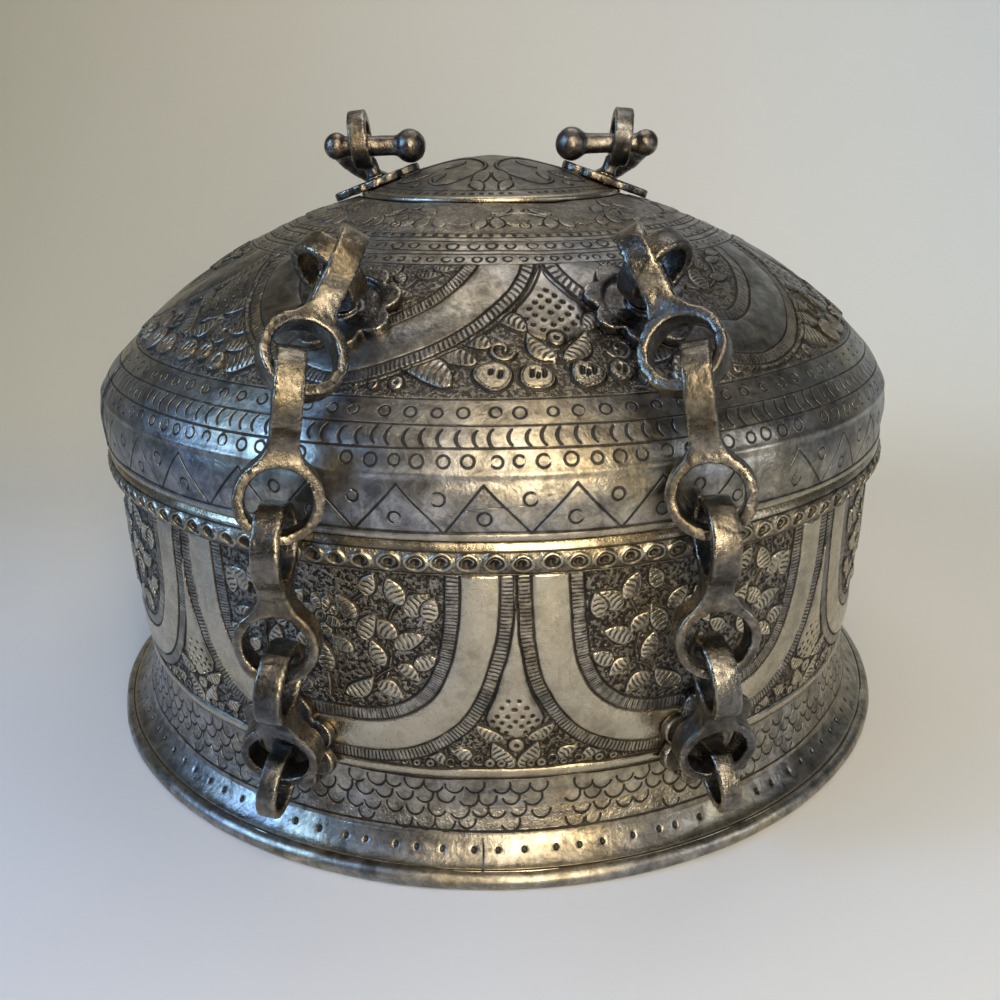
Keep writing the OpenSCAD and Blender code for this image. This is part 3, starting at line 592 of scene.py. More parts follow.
def lid_shape(az, s, R, Z):
    u = np.radians(az) * R
    U = np.radians(az) * 130.0
    m = Sheet(U, s)
    h = np.zeros(len(az))
    # Side
    teeth, per = 38, 360 / 38
    w = np.mod(az + 5.7 + 0.35 * drift(U, s, 16, 31), per) / per
    tri = np.abs(w - 0.5) * 2
    k = np.mod(np.floor((az + 5.7) / per), teeth)
    zz = 1.9 + 12.6 * (1 - tri)
    slope = 1 / math.sqrt(1 + (12.6 / (per / 2 * math.pi / 180 * 132.4)) ** 2)
    zig = np.abs(s - zz) * slope
    wear_and_sheen = 0.5 * smooth(0.2, 0.8, drift(U, s, 24, 33))
    side = (s > 1.7) & (s < 15.6)
    m.line = np.where(side, zig + wear_and_sheen, m.line)
    low = stamps(u, s, np.radians(per) * 132.4, 5.9, teeth, "ring", 1.6, 34, 0.03, 0.0, (-5.7 / per + 0.5))
    high = stamps(u, s, np.radians(per) * 132.4, 11.0, teeth, "ring", 1.6, 35, 0.03, 0.08, -5.7 / per)
    m.line = np.where(s < 15.6, np.minimum(m.line, np.minimum(low, high) + wear_and_sheen * 0.5), m.line)
    m.line = np.minimum(m.line, np.abs(s - 2.3 - 0.2 * drift(U, 0 * U, 28, 36)) + 0.02)
    scratch = path_near(U, s, ((-14.0, 6.4), (-4.0, 8.6), (9.0, 9.4)))[0]
    m.line = np.minimum(m.line, scratch + 0.22)
    h += 0.3 * smooth(2.3, 1.5, s) * smooth(0.0, 0.5, s)
    h += 0.45 * bell(s - 17.0, 1.0)
    # Rows on the shoulder
    rows = (s > 17.8) & (s < S_FIELD + 0.5)
    wave = 0.35 * drift(U, 0 * U, 34, 37)
    for v0, n, kind, r, seed, skip in ((20.2, 134, "ring", 1.5, 41, 0.02), (32.9, 112, "ring", 1.45, 42, 0.03)):
        mid = {20.2: 130.2, 32.9: 122.2}[v0]
        d = stamps(np.radians(az) * mid, s + wave, TAU * mid / n, v0, n, kind, r, seed, 0.1, skip)
        m.line = np.where(rows, np.minimum(m.line, d), m.line)
    n = 192
    d = stamps(np.radians(az) * 127.2, s + wave, TAU * 127.2 / n, 26.2, n, "crescent", 2.9, 43, 0.09, 0.01, 0.45)
    m.line = np.where((s > 23.3) & (s < 29.2), np.minimum(m.line, d), m.line)
    for at, seed in ((23.1, 44), (29.2, 45), (36.4, 46)):
        m.line = np.minimum(m.line, np.abs(s - at + 0.3 * drift(U, 0 * U, 37, seed)))
    # Lobes of the dome, in a layout that keeps shapes true: X and Y are mm at radius 100
    grid = np.linspace(S_FIELD, 140, 400)
    rad = DOME_C[0] + DOME_R * np.cos(TURN + (grid - LID_DOME_S) / DOME_R)
    lay = np.concatenate([[0], np.cumsum(np.diff(grid) * 100 / ((rad[1:] + rad[:-1]) / 2))])
    Y = np.interp(s, grid, lay)
    y_top = float(np.interp(S_UPPER, grid, lay))
    turn = np.mod(az - LOBE_AT + LOBE_HALF, 2 * LOBE_HALF) - LOBE_HALF
    X = np.radians(turn) * 100 + 0.5 * drift(U, s, 21, 47) + 0.2 * drift(U, s, 7, 48)
    Yd = Y + 0.5 * drift(U, s, 22, 49)
    field = (s > S_FIELD) & (s < S_UPPER)
    i = np.nonzero(field)[0]
    f = Sheet(X[i], Yd[i], R[i] / 100)
    kk = R[i] / 100
    f.ground[:] = 0.9
    fx = np.abs(f.x)
    half, deep, power = 51.6, y_top - 1.6, 1.6
    d, along = path_near(fx, f.y, arch_path(half, y_top, deep, power, 36))
    inside = ((fx / half) ** power + (np.clip(y_top - f.y, 0, None) / deep) ** power) < 1
    d = np.where(inside, d, -d) * kk
    along = along * kk
    g = Sheet(52.36 - fx, f.y, kk)
    g.ground[:] = 0.9
    # Palmette with punched dots in the valley, scrolls and dotted buds along the bottom
    bud_y = np.array([14.5, 17.5, 21, 25, 29, 33, 38, 45])
    bud_w = np.array([1.0, 6.6, 9.2, 9.8, 8.4, 6.2, 3.6, 0.8])
    bw = np.interp(g.y, bud_y, bud_w, left=0, right=0)
    bud = (g.x < bw) & (g.y > 14.5) & (g.y < 45)
    g.h = np.where(bud, 0.8 * np.sqrt(np.clip(1 - np.abs(g.x / np.maximum(bw, 0.2)) ** 2.2, 0, 1)), 0)
    g.ground = np.where(bud, 0, g.ground)
    g.line = np.where((g.y > 14) & (g.y < 45), np.abs(g.x - bw) * 0.9, g.line)
    for cx, cy in ((0, 34), (2.1, 31.6), (0, 29.4), (3.9, 29), (2.2, 27), (5.6, 26.6), (0, 25), (4.2, 24.2), (6.8, 23), (2.2, 22.4), (0, 20.6), (5.2, 20.8), (3.0, 19)):
        g.punch([cx, cy], 0.62, 0.5)
    g.leaf([7.0, 18.6], 26, 11.0, 5.6, 0.8, bend=0.18)
    g.leaf([0.8, 9.8], 52, 10.4, 5.4, 0.9, bend=-0.16)
    g.knob([0, 16.2], 2.6, 0.9, 0.7)
    g.stem(curl([14.0, 12.6], 3.4, 200, 560, 0.3), 0.75, 0.8)
    g.leaf([16.4, 13.4], 20, 11.4, 6.2, 0.8, bend=0.14)
    g.leaf([19.4, 8.6], 6, 10.4, 5.4, 0.8, bend=0.16)
    g.stem(curl([27.0, 7.4], 2.6, 200, 540, 0.35), 0.7, 0.7)
    g.leaf([24.5, 2.6], 20, 12.4, 7.0, 1.0, bend=0.2)
    for cx, cy, r in ((36.0, 3.2, 2.3), (41.4, 2.8, 1.8), (46.0, 2.5, 1.4)):
        g.knob([cx, cy], r, 0.9, 0.5)
    across = np.where(f.x > 0, -g.x, g.x)
    for cx, cy, wide, high, slits in (
        (-16.2, 5.2, 5.0, 4.5, 2),
        (-6.6, 5.0, 4.9, 4.0, 3),
        (5.0, 5.6, 4.4, 4.2, 3),
        (12.6, 6.4, 3.2, 3.4, 2),
        (19.0, 4.5, 3.6, 3.4, 1),
    ):
        g.shell([cx, cy], wide, high, 1.15, slits, across)
    out = d < 0
    for name in ("h", "line", "hatch", "beat", "ground"):
        setattr(f, name, np.where(out, getattr(g, name), getattr(f, name)))
    # Inside the lobes
    for sx in (-1, 1):
        f.stem(bow([sx * 2, 30], [sx * 15, 44], -sx * 0.14), 0.5, 0.45)
        for px, py, an, ln, wd in ((6, 33.6, -10, 8.4, 4.4), (9.6, 38, 128, 7.6, 4.2), (13, 41, 6, 8.6, 4.4), (17.6, 45.2, -8, 8, 4), (3.4, 40.6, 62, 7, 4)):
            f.leaf([sx * px, py], an if sx > 0 else 180 - an, ln, wd, 0.5)
    f.leaf([0, 29], 90, 10, 6, 0.6)
    keep = {k: getattr(f, k).copy() for k in ("h", "line", "hatch", "beat", "ground")}
    f.border(d, along, 0.6, 4.2, 1.25, 0.35)
    f.border(d, along, 15.4, 19.0, 1.25, 0.35)
    plain = (d >= 4.2) & (d <= 15.4)
    f.h = np.where(plain, 0.15 + 0.55 * np.sqrt(np.clip(1 - ((d - 9.8) / 5.6) ** 2, 0, 1)), f.h)
    f.ground = np.where(plain, 0, f.ground)
    f.hatch = np.where(plain, 0, f.hatch)
    f.line = np.where(plain, np.minimum(np.abs(d - 4.2), np.abs(d - 15.4)), f.line)
    for k_, val in keep.items():
        now = getattr(f, k_)
        setattr(f, k_, np.where(d > 19.0, np.minimum(val, now) if k_ == "line" else val, np.where(d > 0, now, val)))
    ridge = bell(d + 0.35, 0.55) * 0.7
    f.h = np.maximum(f.h, ridge)
    f.line = np.minimum(f.line, np.abs(d + 1.1))
    fade = smooth(S_FIELD, S_FIELD + 0.8, s[i]) * smooth(S_UPPER, S_UPPER - 0.8, s[i])
    h[i] += f.h * fade
    for name in ("hatch", "ground"):
        getattr(m, name)[i] = getattr(f, name) * fade
    m.beat[i] = f.beat
    m.line[i] = np.minimum(m.line[i], f.line)
    # Upper double band of rings and oblongs
    for at, seed in ((84.4, 51), (89.2, 52), (91.2, 53), (96.0, 54), (98.2, 55), (100.6, 56)):
        m.line = np.minimum(m.line, np.abs(s - at + 0.3 * drift(U, 0 * U, 30, seed)))
    for v0, n, kind, r, seed in ((86.8, 116, "ring", 1.15, 57), (93.6, 84, "ring", 1.5, 58), (99.4, 130, "dot", 0.45, 59)):
        mid = DOME_C[0] + DOME_R * math.cos(TURN + (v0 - LID_DOME_S) / DOME_R)
        d2 = stamps(np.radians(az) * mid, s, TAU * mid / n, v0, n, kind, r, seed, 0.09, 0.02)
        near = np.abs(s - v0) < 2.6
        m.line = np.where(near, np.minimum(m.line, d2), m.line)
        h += np.where(near, 0.16 * bell(s - v0, 1.4), 0)
    # Flower scroll under the disc: ten repeats
    i = np.nonzero((s > S_FLORAL) & (s < 126))[0]
    t10 = np.mod(az[i] - 9 + 18, 36) - 18
    x10 = np.radians(t10) * 56
    flip = np.where(np.mod(np.floor((az[i] - 9 + 18) / 36), 2) > 0, 1.0, -1.0)
    q = Sheet(x10 * flip, s[i] - S_FLORAL, R[i] / 56)
    q.ground[:] = 0.5
    along_x = np.linspace(-18, 18, 25)
    q.stem(np.stack([along_x, 9.6 + 4.2 * np.cos(np.pi * along_x / 18)], 1), 0.55, 0.4)
    for cx, cy, an, ln, wd in ((0, 4.2, 90, 7.6, 4.8), (-1.2, 5, 140, 7, 4), (1.2, 5, 40, 7, 4), (-7, 3.2, 96, 7.4, 4.2), (7, 3.2, 84, 7.4, 4.2), (-13, 3.4, 70, 6.6, 4), (13, 3.4, 110, 6.6, 4), (-10, 13, 30, 8, 4.4), (9, 13, 150, 8, 4.4), (0, 15, 90, 6, 4.6)):
        q.leaf([cx, cy], an, ln, wd, 0.4, veins=0.4)
    q.knob([0, 4.6], 1.7, 0.5, 0.5)
    q.line = q.line + 0.1 + 0.16 * smooth(0.0, 0.6, drift(U[i], s[i], 18, 63))
    fade = smooth(S_FLORAL, S_FLORAL + 0.8, s[i])
    h[i] += q.h * fade
    for name in ("hatch", "ground"):
        getattr(m, name)[i] = getattr(q, name) * fade
    m.beat[i] = q.beat
    m.line[i] = np.minimum(m.line[i], q.line)
    dents = 0.25 * drift(U, s, 19, 61) + 0.45 * drift(U, s, 55, 62)
    calm = smooth(0.0, 3.0, s)
    # Lighter on the raised relief and the bottom lip: wear with a painted highlight.
    bright = np.maximum(smooth(0.7, 1.2, h), smooth(1.9, 1.2, s))
    return h + dents * calm, marks_of(m, bright)


def disc_shape(az, s, R, Z):
    """The raised disc: lip with punched dots, and four hearts with scrolls inside."""
    m = Sheet(R * np.sin(np.radians(az)), -R * np.cos(np.radians(az)))
    h = np.zeros(len(az))
    a = np.mod(az, 90) - 45
    x = R * np.sin(np.radians(a))
    y = R * np.cos(np.radians(a))
    q = Sheet(x, y)
    q.ground[:] = 0.25
    for sx in (-1, 1):
        q.stem(bow([0, 9], [sx * 12.6, 27], -sx * 0.3), 0.55, 0.35)
        q.stem(curl([sx * 6.4, 27.5], 6.4, 0 if sx > 0 else 180, 200 if sx > 0 else -20, 0.5), 0.55, 0.35)
        q.leaf([sx * 2.0, 24], 90 - sx * 28, 8, 4, 0.35, veins=0.5)
        q.leaf([sx * 14.5, 17], 90 - sx * 30, 13, 5.4, 0.35, veins=0.5)
        q.leaf([sx * 17.5, 25.5], 90 - sx * 66, 8, 4.4, 0.35, veins=0.5)
    q.leaf([0, 12], 90, 9, 5, 0.4, veins=0.5)
    q.knob([0, 34.2], 1.8, 0.4, 0.4)
    inner = R < 37
    h += np.where(inner, q.h, 0)
    m.line = np.where(inner, q.line, m.line)
    m.hatch = np.where(inner, q.hatch, 0)
    m.beat = q.beat
    m.ground = np.where(inner, q.ground, 0)
    n = 84
    dots = stamps(np.radians(az) * 39.4, R, TAU * 39.4 / n, 39.4, n, "dot", 0.45, 90, 0.08, 0.02)
    m.line = np.minimum(m.line, dots)
    m.line = np.minimum(m.line, np.abs(R - 37.4))
    h += 0.45 * smooth(40.6, 42.0, R) * smooth(43.5, 43.0, R)
    h += 0.15 * drift(R * np.cos(np.radians(az)), R * np.sin(np.radians(az)), 14, 91)
    # The disc's outer lip is made lighter: wear with a painted highlight.
    return h, marks_of(m, smooth(41, 42.2, R))


# Materials
def node(tree, kind, at=(0, 0), **values):
    n = tree.nodes.new(kind)
    n.location = at
    for key, value in values.items():
        setattr(n, key, value)
    return n


def ramp(tree, src, points):
    """A colour ramp from that socket; points are (place, grey or colour)."""
    n = tree.nodes.new("ShaderNodeValToRGB")
    el = n.color_ramp.elements
    while len(el) < len(points):
        el.new(0.5)
    for e, (pos, col) in zip(el, points):
        e.position = pos
        e.color = (col, col, col, 1) if isinstance(col, (int, float)) else (*col, 1)
    tree.links.new(src, n.inputs[0])
    return n.outputs[0]


def calc(tree, op, a, b=None, clamp=False):
    n = tree.nodes.new("ShaderNodeMath")
    n.operation = op
    n.use_clamp = clamp
    for k, v in enumerate((a, b)):
        if v is None:
            continue
        if isinstance(v, (int, float)):
            n.inputs[k].default_value = v
        else:
            tree.links.new(v, n.inputs[k])
    return n.outputs[0]


def blend_colour(tree, fac, a, b, mode="MIX"):
    n = tree.nodes.new("ShaderNodeMix")
    n.data_type = "RGBA"
    n.blend_type = mode
    for k, v in ((0, fac), (6, a), (7, b)):
        if isinstance(v, (int, float)):
            n.inputs[k].default_value = v
        elif isinstance(v, tuple):
            n.inputs[k].default_value = (*v, 1)
        else:
            tree.links.new(v, n.inputs[k])
    return n.outputs[2]


def noise(tree, scale, detail=4.0, rough=0.55, stretch=None, distort=0.0):
    """Noise in the part's own frame; scale is in features per metre."""
    tc = tree.nodes.new("ShaderNodeTexCoord")
    n = tree.nodes.new("ShaderNodeTexNoise")
    n.inputs["Scale"].default_value = scale
    n.inputs["Detail"].default_value = detail
    n.inputs["Roughness"].default_value = rough
    n.inputs["Distortion"].default_value = distort
    src = tc.outputs["Object"]
    if stretch:
        mp = tree.nodes.new("ShaderNodeMapping")
        mp.inputs["Scale"].default_value = stretch
        tree.links.new(src, mp.inputs["Vector"])
        src = mp.outputs[0]
    tree.links.new(src, n.inputs["Vector"])
    return n.outputs["Fac"]


def spots(tree, scale, kind="F1"):
    tc = tree.nodes.new("ShaderNodeTexCoord")
    n = tree.nodes.new("ShaderNodeTexVoronoi")
    n.feature = kind
    n.inputs["Scale"].default_value = scale
    tree.links.new(tc.outputs["Object"], n.inputs["Vector"])
    return n.outputs["Distance"]


def attribute(tree, name):
    n = tree.nodes.new("ShaderNodeAttribute")
    n.attribute_name = name
    return n.outputs["Fac"]


def aged_metal(name, cool, warm, dark, rough=0.36, chased=False, shade_and_grime_level=0.5, relief=1.0, edge=0.6, lift=1.22, painted_top_shade=None):
    """Old tinned brass: two tones, dark recesses (grime, with painted shade in the hollows), edges and raised parts
    made lighter (wear, with a painted highlight), fine pits and scratches. The last argument, two heights in metres and
    a shade, darkens the colour above a height: a painted shade over the top.
    """
    mat = bpy.data.materials.new(name)
    mat.use_nodes = True
    t = mat.node_tree
    bsdf = t.nodes["Principled BSDF"]
    big = noise(t, 22, 4, 0.6, distort=0.4)
    mid = noise(t, 95, 5, 0.6)
    fine = noise(t, 900, 4, 0.6)
    tone = ramp(t, big, [(0.36, 0.0), (0.64, 1.0)])
    colour = blend_colour(t, tone, cool, warm)
    mottle = ramp(t, mid, [(0.3, 0.72), (0.7, 1.12)])
    colour = blend_colour(t, 1.0, colour, mottle, "MULTIPLY")
    bloom = ramp(t, noise(t, 190, 6, 0.75, distort=0.8), [(0.36, 0.42), (0.62, 1.15)])
    colour = blend_colour(t, 1.0, colour, bloom, "MULTIPLY")
    # Painted shade: the colour is darkened above a given height in metres, over the top of the dome and the disc.
    if painted_top_shade:
        split = t.nodes.new("ShaderNodeSeparateXYZ")
        t.links.new(t.nodes.new("ShaderNodeTexCoord").outputs["Object"], split.inputs[0])
        shade = ramp(t, split.outputs["Z"], [(painted_top_shade[0], 1.0), (painted_top_shade[1], painted_top_shade[2])])
        colour = blend_colour(t, 1.0, colour, shade, "MULTIPLY")
    geo = t.nodes.new("ShaderNodeNewGeometry")
    point = geo.outputs["Pointiness"]
    # Hollows found from pointiness are darkened: partly grime, partly a painted shade in the hollows.
    low = ramp(t, point, [(0.40, 1.0), (0.495, 0.0)])
    high = ramp(t, point, [(0.515, 0.0), (0.60, 1.0)])
    patch = ramp(t, noise(t, 75, 8, 0.78), [(0.46, 0.0), (0.62, 1.0)])
    speck = ramp(t, noise(t, 560, 4, 0.75), [(0.55, 0.0), (0.70, 1.0)])
    dirt_and_shade = calc(t, "MAXIMUM", calc(t, "MULTIPLY", low, 0.9 * shade_and_grime_level), calc(t, "MULTIPLY", patch, 0.7 * shade_and_grime_level))
    dirt_and_shade = calc(t, "MAXIMUM", dirt_and_shade, calc(t, "MULTIPLY", speck, 0.6 * shade_and_grime_level))
    for stretch in ((1.0, 1.0, 0.07), (0.1, 0.1, 1.0)):
        hair = ramp(t, noise(t, 620, 2, 0.5, stretch), [(0.66, 0.0), (0.71, 1.0)])
        dirt_and_shade = calc(t, "MAXIMUM", dirt_and_shade, calc(t, "MULTIPLY", hair, 0.5 * shade_and_grime_level))
    height = calc(t, "MULTIPLY", fine, 0.3)
    height = calc(t, "ADD", height, calc(t, "MULTIPLY", mid, 0.6))
    height = calc(t, "ADD", height, calc(t, "MULTIPLY", noise(t, 330, 5, 0.7), 0.9))
    if chased:
        line = attribute(t, "line")
        wobble = calc(t, "MULTIPLY", calc(t, "SUBTRACT", noise(t, 420, 2, 0.5), 0.5), 0.22)
        line = calc(t, "ADD", line, wobble)
        cut = ramp(t, line, [(0.2, 1.0), (0.4, 0.0)])
        halo = ramp(t, line, [(0.2, 1.0), (0.7, 0.0)])
        beat = attribute(t, "beat")
        beat = calc(t, "ADD", beat, calc(t, "MULTIPLY", noise(t, 260, 2, 0.5), 0.8))
        wave = calc(t, "SINE", calc(t, "MULTIPLY", beat, TAU / 1.1))
        stroke = ramp(t, calc(t, "ADD", calc(t, "MULTIPLY", wave, 0.5), 0.5), [(0.46, 0.0), (0.78, 1.0)])
        faint = ramp(t, noise(t, 310, 3, 0.6), [(0.34, 0.45), (0.5, 1.0)])
        stroke = calc(t, "MULTIPLY", calc(t, "MULTIPLY", stroke, faint), attribute(t, "hatch"))
        stipple = ramp(t, noise(t, 900, 2, 0.6), [(0.42, 0.0), (0.56, 1.0)])
        ground = attribute(t, "ground")
        pits = calc(t, "MULTIPLY", stipple, ground)
        dirt_and_shade = calc(t, "MAXIMUM", dirt_and_shade, calc(t, "MULTIPLY", cut, 0.92))
        dirt_and_shade = calc(t, "MAXIMUM", dirt_and_shade, calc(t, "MULTIPLY", stroke, 0.9))
        dirt_and_shade = calc(t, "MAXIMUM", dirt_and_shade, calc(t, "MULTIPLY", halo, 0.36))
        dirt_and_shade = calc(t, "MAXIMUM", dirt_and_shade, calc(t, "MULTIPLY", calc(t, "ADD", calc(t, "MULTIPLY", pits, 0.62), calc(t, "MULTIPLY", ground, 0.34)), 1.0))
        height = calc(t, "SUBTRACT", height, calc(t, "MULTIPLY", cut, 1.5))
        height = calc(t, "SUBTRACT", height, calc(t, "MULTIPLY", stroke, 1.1))
        height = calc(t, "SUBTRACT", height, calc(t, "MULTIPLY", pits, 1.4))
        # Painted highlight mixed with wear: the bright mask lightens raised relief, rims, lips and the upper sides of
        # the eye rims.
        wear_and_sheen = calc(t, "MULTIPLY", attribute(t, "bright"), 0.85)
        high = calc(t, "MAXIMUM", calc(t, "MULTIPLY", high, 0.7), wear_and_sheen)
    dirt_and_shade = calc(t, "MINIMUM", dirt_and_shade, 1.0)
    colour = blend_colour(t, dirt_and_shade, colour, dark)
    # Convex edges and the bright mask take a lighter colour, partly wear and partly a painted highlight.
    light = tuple(min(1.0, c * lift + 0.03) for c in warm)
    shine = calc(t, "MULTIPLY", calc(t, "MULTIPLY", high, edge), calc(t, "SUBTRACT", 1.0, dirt_and_shade))
    colour = blend_colour(t, shine, colour, light)
    t.links.new(colour, bsdf.inputs["Base Color"])
    bsdf.inputs["Metallic"].default_value = 1.0
    streak = noise(t, 60, 6, 0.7, (1.0, 1.0, 9.0))
    r = calc(t, "ADD", calc(t, "MULTIPLY", streak, 0.26), rough - 0.13)
    r = calc(t, "ADD", r, calc(t, "MULTIPLY", dirt_and_shade, 0.28))
    r = calc(t, "SUBTRACT", r, calc(t, "MULTIPLY", shine, 0.1), True)
    t.links.new(r, bsdf.inputs["Roughness"])
    bump = t.nodes.new("ShaderNodeBump")
    bump.inputs["Strength"].default_value = relief
    bump.inputs["Distance"].default_value = 0.0002
    t.links.new(height, bump.inputs["Height"])
    t.links.new(bump.outputs[0], bsdf.inputs["Normal"])
    return mat


COOL, WARM, DARK = (0.37, 0.37, 0.375), (0.45, 0.39, 0.28), (0.024, 0.020, 0.017)
CHASED = aged_metal("chased_tin", COOL, WARM, DARK, 0.30, True, 0.6, 1.0, 0.85)
# The lid and disc colours are darkened over the top: painted shade.
CHASED_LID = aged_metal("chased_lid_tin", COOL, WARM, DARK, 0.31, True, 0.6, 1.0, painted_top_shade=(0.129, 0.146, 0.68))
DISC = aged_metal("disc_tin", COOL, WARM, DARK, 0.31, True, 0.6, 1.0, painted_top_shade=(0.123, 0.134, 0.55))
BAND = aged_metal("worn_band", (0.40, 0.375, 0.32), (0.54, 0.44, 0.28), DARK, 0.27, True, 0.45, 0.9)
PLAIN = aged_metal("plain_tin", COOL, WARM, DARK, 0.34, False, 0.5, 0.8)
# The forged and handle pieces are dark, with their edges lifted much lighter: wear with a painted highlight.
FORGED = aged_metal("forged_brass", (0.16, 0.16, 0.165), (0.27, 0.225, 0.155), (0.022, 0.018, 0.015), 0.25, False, 0.95, 1.6, 1.0, 2.1)
BAR = aged_metal("handle_brass", (0.18, 0.175, 0.17), (0.28, 0.225, 0.175), (0.026, 0.022, 0.018), 0.25, False, 0.8, 1.4, 0.9, 1.6)
INNER = aged_metal("tinned_inside", (0.60, 0.60, 0.58), (0.58, 0.54, 0.46), (0.12, 0.11, 0.10), 0.4, False, 0.3, 0.8)


def finish_piece(ob, mat, body, slot, *stands_for):
    ob.data.materials.clear()
    ob.data.materials.append(mat)
    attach(ob, body)
    if stands_for:
        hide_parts(*stands_for)
    return ob


# Turned sheets
FINE, COARSE = (0.36, 0.85)
az = columns(FINE, COARSE, 129.0)
zs = np.arange(FOOT_H, 99.01, 0.37)
line = np.stack([wall_r(zs), zs], 1)
wall = spin("Bowl_wall", line, az, bowl_shape)
finish_piece(wall, CHASED, "bowl", "chased_bowl", "bowl_wall")
plain_az = np.linspace(-180, 180, 361)[:-1]
zi = np.linspace(FOOT_H, 99.0, 24)
inside = np.concatenate([[[float(wall_r(99.0)), 99.0]], np.stack([wall_r(zi) - SHEET, zi], 1)[::-1], [[float(wall_r(FOOT_H)), FOOT_H]]])
finish_piece(spin("Bowl_lining", inside, plain_az), INNER, "bowl", "tinned_inside")

t = np.linspace(0, 1, 26)
fall = FOOT_H - BEAD_Z - BEAD - 0.05
flange = np.stack([FOOT_R + REACH * t, FOOT_H - fall * (1 - (1 - t) ** 1.8)], 1)
under = flange - np.array([0, SHEET * 1.3])
under[0, 0] -= SHEET
loop = np.concatenate([under, flange[::-1]])
finish_piece(spin("Foot_flange", loop, columns(0.6, 1.4, 133.0), flange_shape), CHASED, "bowl", "foot", "foot_flange")
a0 = math.asin(-BEAD_Z / BEAD)
roll = arc((FOOT_R + REACH, BEAD_Z), BEAD, a0, math.pi - a0, 30)


def roll_shape(az, s, R, Z):
    u = np.radians(az) * 137.0
    dent = 0.16 * drift(u, s, 9, 95) + 0.2 * drift(u, 0 * s, 33, 96)
    return dent * smooth(0.0, 1.6, Z) * smooth(6.0, 4.4, np.abs(s - 6) * 1.0), {}


roll = np.concatenate([[[roll[-1, 0], 0.0]], roll])
finish_piece(spin("Foot_rim", roll, columns(0.9, 1.8, 137.0), roll_shape), PLAIN, "bowl", "foot", "foot_rim_wire")

k = np.linspace(0, 1, 44)
z0 = RIM_Z - 0.1 - 9.4
face = np.stack([BOWL_R + 1.2 + 2.2 * np.sin(np.pi * k), z0 + 9.4 * k], 1)
band = np.concatenate([[[BOWL_R + 0.05, z0]], face, [[BOWL_R + 0.05, z0 + 9.4]]])
band = np.concatenate([band[:2], resample(band[1:-1], 0.28)[1:], band[-1:]])
finish_piece(spin("Eye_band", band, columns(0.34, 0.8, 131.0), band_shape), BAND, "bowl", "worn_band", "eye_band")

outer = resample(lid_line(0, 44.0, 240), 0.42)
lid = spin("Lid_dome", outer, columns(FINE, COARSE, 129.0), lid_shape)
finish_piece(lid, CHASED_LID, "lid", "chased_lid", "lid_shell")
inner = np.concatenate([lid_line(SHEET, 4.2, 40), [[0.3, float(dome_z(0.0)) - SHEET]]])
mouth = np.array([[LID_R - SHEET, LID_Z], [LID_R, LID_Z]])
finish_piece(spin("Lid_lining", np.concatenate([inner[::-1], mouth[1:]]), plain_az), INNER, "lid", "tinned_inside")
r = np.linspace(0.4, DISC_R, 110)
top = np.stack([r, disc_z(r)], 1)[::-1]
low_edge = np.array([[DISC_R - 1.2, float(dome_z(DISC_R - 1.2)) + 0.05], [DISC_R, float(disc_z(DISC_R)) - 1.0]])
finish_piece(spin("Lid_disc", np.concatenate([low_edge, top]), np.linspace(-180, 180, 541)[:-1], disc_shape), DISC, "lid", "chased_lid", "lid_top_disc")


# Forged pieces: the CAD shape with its edges rounded over and an uneven hammered face
def forged(name, cad, voxel, rounds, lumps, seed, hollow=None):
    src = NODES[cad]
    me = src.data.copy()
    me.materials.clear()
    ob = bpy.data.objects.new(name, me)
    bpy.context.scene.collection.objects.link(ob)
    rm = ob.modifiers.new("even", "REMESH")
    rm.mode = "VOXEL"
    rm.voxel_size = voxel * MM
    rm.use_smooth_shade = True
    sm = ob.modifiers.new("round", "SMOOTH")
    sm.factor = 0.5
    sm.iterations = rounds
    bpy.context.view_layer.update()
    dg = bpy.context.evaluated_depsgraph_get()
    new = bpy.data.meshes.new_from_object(ob.evaluated_get(dg))
    ob.modifiers.clear()
    ob.data = new
    bpy.data.meshes.remove(me)
    n = len(new.vertices)
    co = np.empty(n * 3, np.float32)
    new.vertices.foreach_get("co", co)
    co = co.reshape(-1, 3).astype(float)
    no = np.empty(n * 3, np.float32)
    new.vertex_normals.foreach_get("vector", no)
    no = no.reshape(-1, 3)
    p = co / MM
    d = lumps * (0.55 * drift3(p, 5.5, seed) + 0.3 * drift3(p, 2.3, seed + 1) + 0.12 * drift3(p, 1.1, seed + 2))
    co = co + no * (d * MM)[:, None]
    new.vertices.foreach_set("co", co.astype(np.float32).ravel())
    new.polygons.foreach_set("use_smooth", np.ones(len(new.polygons), bool))
    new.update()
    return ob


seed = 200
for side in ("left", "right"):
    for k in range(1, 5):
        seed += 5
        ob = forged(f"{side.capitalize()}_link_{k}", f"{side}_link_{k}", 0.55, 7, 0.34, seed)
        finish_piece(ob, FORGED, f"{side}_link{k}", "forged_links", f"{side}_link_{k}")
    for what, body in (("bowl", "bowl"), ("lid", "lid"), ("handle", "lid")):
        seed += 5
        ob = forged(f"{side.capitalize()}_{what}_ring", f"{side}_{what}_ring", 0.5, 6, 0.24, seed)
        finish_piece(ob, FORGED, body, "forged_rings", f"{side}_{what}_ring")
    for what in ("bowl", "lid"):
        seed += 5
        ob = forged(f"{side.capitalize()}_{what}_rosette", f"{side}_{what}_rosette", 0.45, 5, 0.3, seed)
        finish_piece(ob, FORGED, what, "rosettes", f"{side}_{what}_rosette")
    seed += 5
    ob = forged(f"{side.capitalize()}_handle_plate", f"{side}_handle_plate", 0.45, 5, 0.3, seed)
    finish_piece(ob, FORGED, "lid", "rosettes", f"{side}_handle_plate")
ob = forged("Bail_handle", "bail_handle", 0.6, 6, 0.3, 400)
finish_piece(ob, BAR, "handle", "handle_bar", "bail_handle")

